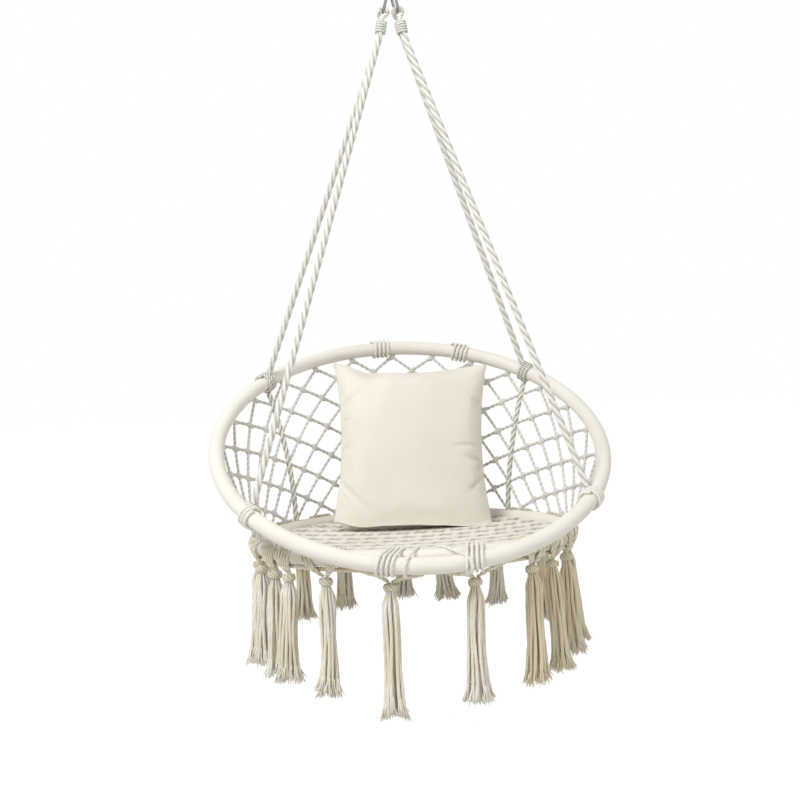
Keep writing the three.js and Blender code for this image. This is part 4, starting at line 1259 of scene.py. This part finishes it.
def seat_patch(columns=180):
    """Two sheets over rows of points between the rim's ends: the upper one carries the stitches,
    and the lower one carries shallower ones."""
    lines = seat_rows * seat_lines_per_row
    y = seat_reach * seat_rim_share * np.linspace(-1, 1, lines + 1)
    half = np.sqrt(seat_reach**2 - y**2)
    x = half[:, None] * np.linspace(-1, 1, columns + 1)[None]
    y = np.broadcast_to(y[:, None], x.shape)
    edge = 1 - (x**2 + y**2) / seat_reach**2
    dish = -seat_sag * edge
    stitch, slit_shade = stitches(x, y)
    thin = np.clip(edge * 14, 0.35, 1.0)
    upper = dish + (top_flat + top_relief * stitch) * thin
    lower = dish - (under_flat + under_relief * stitch) * thin
    sheets = np.stack([np.stack([x, y, upper], -1), np.stack([x, y, lower], -1)])
    sheets[..., 2] -= seat_drop
    return seat_sheets(sheets + seat_hoop.centre, np.stack([slit_shade, slit_shade]))


def seat_sheets(sheets, hollow):
    """The faces of a slab between an upper and a lower grid, with walls round its edge."""
    lines, across = sheets.shape[1:3]
    index = np.arange(2 * lines * across).reshape(2, lines, across)

    def cells(a, b, c, d):
        return np.stack([a, b, c, d], -1).reshape(-1, 4)

    upper, lower = index
    top = cells(upper[:-1, :-1], upper[:-1, 1:], upper[1:, 1:], upper[1:, :-1])
    under = cells(lower[:-1, :-1], lower[1:, :-1], lower[1:, 1:], lower[:-1, 1:])
    walls = [
        cells(upper[1:, 0], lower[1:, 0], lower[:-1, 0], upper[:-1, 0]),
        cells(upper[:-1, -1], lower[:-1, -1], lower[1:, -1], upper[1:, -1]),
        cells(upper[0, :-1], lower[0, :-1], lower[0, 1:], upper[0, 1:]),
        cells(upper[-1, 1:], lower[-1, 1:], lower[-1, :-1], upper[-1, :-1]),
    ]
    faces = np.concatenate([top, under, *walls])
    points = sheets.reshape(-1, 3)
    uv = points[faces.ravel(), :2]
    return {"points": points, "faces": faces.tolist(), "uv": uv, "hollow": hollow.ravel()}


seat = seat_patch()
beside = np.arctan2(np.abs(seat["points"][:, 0]), seat_hoop.centre[1] - seat["points"][:, 1])
lashing_margin = 0.008
half_lashing = (lashing_turns * lashing_pitch + lashing_cord) / 2 + lashing_margin
bound = np.abs(beside - lashing_seat_angle) * seat_hoop_radius < half_lashing
seat["points"] = clear_of(seat["points"], seat_hoop, lashing_reach + 2 * fit, bound)
piece("seat_stitches", seat, seat_cotton, "seat_weave")

# %% [markdown]
# ## Fringe
# A thick cord runs under the seat hoop. On each side of a tassel three cords come down slantwise
# over the outer side of the hoop, and all six meet in a wrapped knot. Below the knot falls a
# bunch of cords, cut off and brushed out at its end. Every bunch is worked out hanging straight,
# then splayed, turned to its place and moved.

# %% Header cord
header_diameter = 0.009
header_drop = sleeve_radius + fit + header_diameter / 2
lashing_half_length = 0.0205
header_gap = lashing_half_length + fit + header_diameter / 2
header_start = lashing_seat_angle + header_gap / seat_hoop_radius


def header_patch(count=900, sides=14):
    """An open ring under the seat hoop, from one lashing round the back to the other, with
    small waves where loops are tied on. It is darker and yellower towards the front: painted
    shadow under the big hoop, and slight yellowing."""
    angle = np.linspace(header_start, 2 * math.pi - header_start, count)
    path = seat_hoop.point(angle) - [0.0, 0.0, header_drop]
    swell = 0.94 + 0.06 * np.cos(angle * seat_hoop_radius * 2 * math.pi / 0.012)
    upwards = np.array([0.0, 0.0, 1.0])
    cord = laid_cord(path, upwards, header_diameter, strands=3, lay=0.022, sides=sides, swell=swell[None])
    # Painted shadow under the big hoop at the front, and slight yellowing.
    return aged(cord, np.repeat(0.6 * np.clip(np.cos(angle), 0, 1), sides))


piece("fringe_rope", header_patch(), fringe_cotton, "fringe_header_cord")

# %% Tassels
tassel_degrees = (14, 37, 49, 64, 88, 113, 138, 163, 179, 205, 226, 249, 272, 282, 297, 306, 323, 346)
tassel_length, tassel_front_extra = 0.232, 0.040
tassel_splay, right_splay = math.radians(3.4), math.radians(0.6)
leg_diameter, leg_cords, leg_pitch = 0.0062, 3, 0.0090
widest_leg, narrowest_leg, leg_start = 0.058, 0.003, 0.0035
side_turns = np.radians((-68.0, -38.0, -5.0, 30.0, 65.0, 100.0))
front_turns = np.radians((-84.0, -80.0, -78.0, -84.0, -100.0, -125.0))
knot_top, knot_foot = -0.0152, -0.0292
brush_length = 0.026
tassel_cord, brush_yarn, coil_cord, core_width = 0.0064, 0.0034, 0.0046, 0.0150
leg_shares = np.array([0.42, 0.68, 0.84, 0.94, 1.0, 1.0])
front_cosine = 0.9
front_drop, front_lift = 0.007, 0.003
legs_in_knot = 0.002
leg_room_share = 0.47
chance = np.random.default_rng(11)


def packed_ring(counts, radii):
    """Places in rings round a middle: a count and a radius for each ring."""
    angle = np.concatenate([np.arange(n) * 2 * math.pi / n + 0.3 * k for k, n in enumerate(counts)])
    reach = np.repeat(radii, counts)
    return np.stack([reach * np.cos(angle), reach * np.sin(angle)], -1)


def tassel_cords(foot, rings=46, sides=8):
    """Nineteen soft cords: gathered in the knot, they spread below it, lean together a little and
    open out at their ends, each at its own length."""
    counts = (1, 6, 12)
    cords_made = sum(counts)
    gathered = packed_ring(counts, (0.0, 0.0036, 0.0068))
    spread = packed_ring(counts, (0.0, 0.0066, 0.0126)) + chance.normal(0, 0.0010, (cords_made, 2))
    low = foot + brush_length * 0.8 + np.abs(chance.normal(0, 0.005, cords_made))
    start = knot_top - 0.004
    share = np.linspace(0, 1, rings)
    height = start + (low[:, None] - start) * share
    below = np.clip((knot_foot + 0.003 - height) / 0.030, 0, 1)
    ease = below * below * (3 - 2 * below)
    phase = chance.uniform(0, 2 * math.pi, (cords_made, 2, 1))
    sway = 0.0013 * ease[:, None] * np.sin(2 * math.pi * share * 1.1 + phase)
    lean = chance.normal(0, 0.0045, (1, 2, 1)) * share**2
    flare = 1 + chance.uniform(0.15, 0.5) * np.clip((share - 0.5) / 0.5, 0, 1) ** 1.5
    inner = gathered[:, :, None] * (1 - ease[:, None])
    outer = spread[:, :, None] * ease[:, None] * flare
    flat = inner + outer + sway + lean
    path = np.stack([flat[:, 0], flat[:, 1], height], -1)
    full = 0.5 + 0.5 * ease - 0.25 * np.clip((share - 0.93) / 0.07, 0, 1) ** 2
    cords = laid_cord(
        path, front_to_back, tassel_cord, strands=3, lay=0.085, sides=sides, soft=0.84, swell=full
    )
    return cords, path[:, -1], path[:, -1] - path[:, -5]


def tassel_brush(tips, headings, yarns=10, rings=6, sides=4):
    """The brushed-out end of each cord: its yarns start above the cord's tip, go on as the cord
    did, fan out away from the tassel's middle, waver, and grow thinner."""
    outward = tips - tips.mean(0)
    outward = outward / (np.linalg.norm(outward, axis=1, keepdims=True) + 0.004)
    outward = np.repeat(outward, yarns, axis=0)
    tips = np.repeat(tips, yarns, axis=0)
    onward = unit(np.repeat(headings, yarns, axis=0))
    count = len(tips)
    angle = chance.uniform(0, 2 * math.pi, count)
    sideways = np.stack([np.cos(angle), np.sin(angle), 0 * angle], -1)
    aside = chance.uniform(0.0, 0.20, count)[:, None] * sideways
    lean = aside + chance.uniform(0.02, 0.22, count)[:, None] * outward
    length = chance.uniform(0.95, 1.3, count) * brush_length
    share = np.linspace(0, 1, rings)[None, :, None]
    beside_tip = tips + chance.uniform(0.0004, 0.0026, count)[:, None] * sideways
    start = beside_tip - 0.35 * brush_length * onward
    waver = 0.0007 * np.sin(2 * math.pi * 1.3 * share + angle[:, None, None]) * sideways[:, None]
    heading = lean[:, None] * (0.2 + share) + onward[:, None]
    path = start[:, None] + length[:, None, None] * share * heading + waver
    thin = np.broadcast_to(1.0 - 0.55 * share[..., 0] ** 2, (count, rings))
    guide = np.array([0.02, 1.0, 0.0])
    brush = laid_cord(path, guide, brush_yarn, strands=2, lay=0.02, sides=sides, soft=0.85, swell=thin)
    brush["hollow"] = 0.25 * brush["hollow"]
    return brush


def tassel_knot():
    """A cord coiled round the neck of the tassel, three turns and a half, drawn in at its ends."""
    turns = 3.5
    share = np.linspace(0, turns, 130)
    angle = 2 * math.pi * share
    rise = share / turns
    height = knot_top - 0.0016 + (knot_foot - knot_top + 0.0032) * rise
    reach = 0.0094 + 0.0018 * np.sin(math.pi * rise)
    path = np.stack([reach * np.cos(angle), reach * np.sin(angle), height], -1)
    coil = laid_cord(path, path * [1, 1, 0], coil_cord, strands=2, lay=0.016, sides=9, soft=0.66)
    # More painted shade between the coil's strands.
    return deeper(coil, 1.7)


def tassel_core():
    """What the knot holds: a plug of doubled cord that fills the coil."""
    height = np.linspace(knot_top + 0.0012, knot_foot - 0.001, 14)
    share = np.linspace(-1, 1, 14)
    path = np.stack([0 * height, 0 * height, height], -1)
    swell = ((1 - np.abs(share) ** 3) ** 0.5 + 0.15)[None]
    return laid_cord(
        path, front_to_back, core_width, strands=6, lay=0.05, sides=18, soft=0.8, swell=swell
    )


def beside_sleeve(hoop, angle, aside, turn, reach):
    """Points beside a hoop's sleeve: a distance along the hoop, a turn round its section, from
    outwards at 0 to upwards at 90 degrees, and a reach from its middle line."""
    here = angle + aside / hoop.radius
    out = np.cos(turn)[:, None] * hoop.outward(here) + np.sin(turn)[:, None] * hoop.axis
    return hoop.point(here) + reach[:, None] * out


def tassel_legs(angle, room):
    """Three cords on each side come up slantwise from the knot: over the outer face of the seat
    hoop, or at the front up behind the big hoop, next to the lashings."""
    at_front = math.cos(angle) > front_cosine
    hoop, along, turn = seat_hoop, angle, side_turns
    if at_front:
        hoop, turn = back_hoop, front_turns
        along = math.asin(math.sin(angle) * seat_hoop_radius / back_hoop_radius)
    resting = sleeve_radius + fit + leg_diameter / 2
    reach = np.full(len(turn), resting)
    reach[:2] = header_drop + header_diameter / 2, resting + front_lift * at_front
    drop = header_drop - knot_top - legs_in_knot + front_drop * at_front
    knot = seat_hoop.point(angle) - [0.0, 0.0, drop]
    guide = hoop.tangent(along) + [0.0, 0.0, 0.2]
    legs = []
    for side in (1, -1):
        for number in range(leg_cords):
            aside = side * max(min(widest_leg, room) - number * leg_pitch, narrowest_leg)
            path = beside_sleeve(hoop, along, aside * leg_shares, turn, reach)
            start = knot + side * leg_start * seat_hoop.tangent(angle)
            path = softened(np.concatenate([start[None], path]), step=0.0016, soften=0.010)
            leg = laid_cord(path, guide, leg_diameter, strands=2, lay=0.026, sides=9, soft=0.72)
            leg["points"] = clear_of(leg["points"], hoop, sleeve_radius + fit)
            # Painted shade between the legs' strands, and at the front painted shadow under the hoop with
            # slight yellowing.
            legs.append(aged(deeper(leg, 1.7), 0.25 * max(math.cos(angle), 0.0)))
    return legs


def tassel_patch(degrees, room, hang, yellow_share):
    """The parts of one tassel together: the bunch is splayed out by a few degrees, more on the
    right, sheared aside, and moved to the hoop, where its legs are."""
    angle = math.radians(degrees)
    shorter, aside = hang
    foot = header_drop - (tassel_length + tassel_front_extra * math.cos(angle)) + shorter
    cords, tips, headings = tassel_cords(foot)
    bunch = [aged(cords, yellow_share), aged(tassel_brush(tips, headings), 0.7 * yellow_share)]
    patch = joined([*bunch, aged(tassel_knot(), 0.4 * yellow_share), aged(tassel_core(), 0.4 * yellow_share)])
    lean = Matrix.Rotation(-(tassel_splay + right_splay * math.sin(angle)), 3, "X")
    turn = np.array(Matrix.Rotation(angle, 3, "Z") @ lean)
    origin = seat_hoop.point(angle) - [0.0, 0.0, header_drop]
    patch["points"] = patch["points"] @ turn.T
    patch["points"][:, 0] += aside * patch["points"][:, 2] / foot
    patch["points"] += origin - [0.0, 0.0, front_drop * (math.cos(angle) > front_cosine)]
    return joined([patch, *tassel_legs(angle, room)])


def room_beside(number):
    """Nearly half the distance along the hoop to the nearer of the two next tassels."""
    here = tassel_degrees[number]
    beside = [tassel_degrees[(number + step) % len(tassel_degrees)] for step in (-1, 1)]
    apart = min(abs((there - here + 180) % 360 - 180) for there in beside)
    return leg_room_share * math.radians(apart) * seat_hoop_radius


# By the angle of a tassel: cut a little shorter at the sides of the front, hanging a little
# aside here and there, and yellower on the right.
shorter_by = {
    14: 0.020, 37: 0.018, 49: 0.020, 64: 0.022,
    282: 0.014, 297: 0.024, 306: 0.024, 323: 0.020, 346: 0.005,
}
hangs_aside = {14: -0.016, 64: -0.008, 272: 0.006, 282: 0.006, 297: 0.006, 323: 0.016}
for number, degrees in enumerate(tassel_degrees):
    name = f"tassel_{number + 1:02d}"
    # A share towards the yellower aged colour: much on the right, a little at the back.
    yellow_share = 0.8 if 30 < degrees < 120 else 0.12 * (120 <= degrees < 240)
    hang = shorter_by.get(degrees, 0.0), hangs_aside.get(degrees, 0.0)
    tassel = tassel_patch(degrees, room_beside(number), hang, yellow_share)
    piece(f"{name}_bunch", tassel, fringe_cotton, name)

# %% [markdown]
# ## Pillow
# A nearly square cover with a loose filling: full in the middle, thin at the seam, with sides
# that draw in between four pointed corners. The shell is first worked out as two crowned sheets.
# Then cloth simulation blows it up a little, which gives the creases that run in from the
# corners and the soft dents along the edges. The simulation is short, and how far a point may
# move is capped, so that the pillow keeps the room its CAD solid holds.

# %% Pillow shell
pillow_width, pillow_height, pillow_thickness = 0.342, 0.366, 0.124
pillow_draw = 0.075
pillow_seam = 0.005
pillow_crown = 0.62
pillow_low, pillow_high = (np.array(corner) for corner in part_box("pillow_cover"))
pillow_middle = (pillow_low + pillow_high) / 2
pillow_roll = math.radians(3.0)
pillow_turn = np.array(Matrix.Rotation(-pillow_lean, 3, "X") @ Matrix.Rotation(pillow_roll, 3, "Y"))


def pillow_sheets(steps=44, shrink=0.995, crown=0.80):
    """Two grids over u and v in -1..1. Out from the seam the cover stands ((1-u^2)(1-v^2))^c,
    and each side is drawn in by a share of 1 - v^2."""
    spread = np.sin(np.linspace(-math.pi / 2, math.pi / 2, steps + 1))
    u, v = np.meshgrid(spread, spread)
    bulge = ((1 - u**2) * (1 - v**2)) ** pillow_crown
    stand = pillow_seam / 2 + (pillow_thickness / 2 * crown - pillow_seam / 2) * bulge
    x = shrink * pillow_width / 2 * u * (1 - pillow_draw * (1 - v**2))
    z = shrink * pillow_height / 2 * v * (1 - pillow_draw * (1 - u**2))
    return np.stack([np.stack([x, -stand, z], -1), np.stack([x, stand, z], -1)])


sheets = pillow_sheets()
shell = seat_sheets(sheets, np.zeros(sheets.shape[:3]))
print("pillow shell", len(shell["faces"]), "faces, middle at", pillow_middle.round(4))

# %% Pillow simulation
voxel_size = 0.0042
pressure = 4.0
sim_frames = 20
largest_move = 0.022
along_cloth_share = 0.3


def object_points(mesh):
    """A mesh's vertices as an array."""
    points = np.zeros(len(mesh.vertices) * 3, np.float32)
    mesh.vertices.foreach_get("co", points)
    return points.reshape(-1, 3).astype(float)


def blown_up(mesh):
    """Remeshes the shell evenly and lets pressure fill it for a few frames, in its own space."""
    puffed = new_object("pillow_puffed", mesh)
    bpy.context.view_layer.objects.active = puffed
    remesh = puffed.modifiers.new("even", "REMESH")
    remesh.mode = "VOXEL"
    remesh.voxel_size = voxel_size
    bpy.ops.object.modifier_apply(modifier=remesh.name)
    before = object_points(puffed.data)
    cloth = puffed.modifiers.new("fill", "CLOTH")
    cloth.settings.use_pressure = True
    cloth.settings.uniform_pressure_force = pressure
    cloth.settings.effector_weights.gravity = 0.0
    cloth.settings.tension_stiffness = 12.0
    cloth.settings.bending_stiffness = 0.15
    cloth.point_cache.frame_start = 1
    cloth.point_cache.frame_end = sim_frames
    for number in range(1, sim_frames + 1):
        bpy.context.scene.frame_set(number)
    bpy.ops.object.modifier_apply(modifier=cloth.name)
    bpy.context.scene.frame_set(1)
    return puffed, before


shell_mesh = bpy.data.meshes.new("pillow")
shell_mesh.from_pydata(shell["points"].tolist(), [], shell["faces"])
shell_mesh.update()
pillow, rest_points = blown_up(shell_mesh)
moved = object_points(pillow.data) - rest_points
far_moved = np.linalg.norm(moved, axis=1)
moved *= np.minimum(1.0, largest_move / np.maximum(far_moved, nearly_nothing))[:, None]
moved *= (along_cloth_share, 1.0, along_cloth_share)
print("pillow moved at most", far_moved.max().round(4), "m over", len(moved), "points")

# %% [markdown]
# After the simulation the pillow gets what its filling and its weight do: dents in the top
# edge, creases at both sides, more on the right, and a flat foot where it stands on the seat,
# with its left corner a little raised. The front of the foot is filled out, because the pillow
# leans on it. The dents are smooth dips in the pillow's own upright space. Then it is leaned
# back, and its foot, made a little too long, is pressed up by the seat and swells out as it
# goes. Dents, creases and the seam's line are kept as a number at each point, which the colour
# turns into painted shade.

# %% Pillow finish


def dent(points, place_x, place_z, width, height, turn=0.0):
    """exp(-(s/width)^2 - (t/height)^2), with s and t turned about the dent's middle."""
    x, z = points[:, 0] - place_x, points[:, 2] - place_z
    s = x * math.cos(turn) + z * math.sin(turn)
    t = z * math.cos(turn) - x * math.sin(turn)
    return np.exp(-((s / width) ** 2) - (t / height) ** 2)


def seat_top(points):
    """The height of the seat's stitches under each point: a shallow dish."""
    flat = points[:, :2] - seat_hoop.centre[:2]
    edge = 1 - (flat**2).sum(1) / seat_reach**2
    return seat_hoop.centre[2] - seat_drop - seat_sag * edge + stitch_rise


def pressed(points, local_y):
    """The height above the seat becomes s log(1 + exp(h / s)), never below 0, and what is
    pressed up moves out to the front or the back by a share of that."""
    height = points[:, 2] - seat_top(points)
    lift = press_softness * np.logaddexp(0.0, height / press_softness) - height
    return points + np.stack([0 * lift, np.sign(local_y) * press_spread * lift, lift], -1)


foot_overlength, middle_overlength = 0.013, 0.015
foot_fullness = 0.036
crease_width = 0.0038
corner_raise = 0.016
rim_share = 0.82
small_creases = (
    (0.136, -0.043, 0.022, -0.15, 0.0062),
    (0.150, -0.053, 0.015, 0.90, 0.0050),
    (0.112, -0.016, 0.030, 0.10, 0.0038),
    (0.138, -0.088, 0.020, 0.70, 0.0050),
    (0.126, -0.098, 0.013, -0.30, 0.0036),
    (0.142, 0.088, 0.018, -0.50, 0.0025),
    (-0.148, 0.045, 0.011, -0.30, 0.0035),
    (-0.150, -0.018, 0.012, 0.30, 0.0030),
    (-0.148, -0.118, 0.014, -0.80, 0.0030),
)
press_softness = 0.0025
press_spread = 0.35
stitch_rise = 0.0068
filled = rest_points + moved
limit = np.array([pillow_width, pillow_thickness, pillow_height]) / 2
filled *= limit / np.abs(filled).max(0)
low_half = np.clip(-filled[:, 2] / limit[2], 0, 1)
front = np.clip(-filled[:, 1] / 0.02, 0, 1)
seam_line = np.exp(-((filled[:, 1] / 0.0022) ** 2))
from_middle = np.maximum(np.abs(filled[:, 0]) / limit[0], np.abs(filled[:, 2]) / limit[2])
rim = from_middle > rim_share
depth = (
    0.012 * dent(filled, -0.090, 0.168, 0.030, 0.026)
    + 0.006 * dent(filled, 0.055, 0.176, 0.045, 0.016)
    + 0.005 * dent(filled, -0.135, -0.110, 0.040, 0.0070, -0.6)
    + 0.004 * dent(filled, -0.140, 0.085, 0.036, 0.0060, 0.7)
)
creases = 0.0
for x, z, width, turn, deep in small_creases:
    creases = creases + deep * dent(filled, x, z, width, crease_width, turn)
across = np.clip(1 - (filled[:, 0] / limit[0]) ** 2, 0, 1)
foot_share = np.clip((low_half - 0.35) / 0.35, 0, 1)
foot_front = foot_fullness * across**0.5 * foot_share**2 * (3 - 2 * foot_share)
fuller = (filled[:, 1] ** 4 + foot_front**4) ** 0.25
filled[:, 1] = np.where(filled[:, 1] < 0, -fuller, filled[:, 1])
filled[:, 1] += front * (depth + creases)
filled[:, 2] -= foot_overlength * low_half**1.5 + middle_overlength * across * low_half**3
filled[:, 2] -= front * math.tan(pillow_lean) * foot_front
at_left_corner = np.exp(-(((filled[:, 0] + 0.165) / 0.034) ** 2))
filled[:, 2] += corner_raise * at_left_corner * low_half
top_left = 0.008 * dent(filled, -0.098, 0.180, 0.034, 0.05)
filled[:, 2] -= top_left + 0.007 * dent(filled, -0.02, 0.183, 0.10, 0.05)
# Painted shade in the dents and creases on the front, and along the seam at the rim.
crease_shade = np.clip(14 * depth + 44 * creases, 0, 0.3) * front + np.where(rim, 0.55 * seam_line, 0.0)
placed = pressed(filled @ pillow_turn.T + pillow_middle, filled[:, 1])
pillow.data.vertices.foreach_set("co", placed.astype(np.float32).ravel())
mark(pillow.data, "painted_shade", crease_shade)
dress(pillow, pillow_canvas)
pillow.data.shade_smooth()
smoother = pillow.modifiers.new("smooth", "SUBSURF")
smoother.levels = 1
smoother.render_levels = 1
pillow.name = "pillow"
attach(pillow, "pillow")
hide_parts("pillow_cover", "pillow_insert")
print("pillow", len(placed), "points, from", placed.min(0).round(4), "to", placed.max(0).round(4))
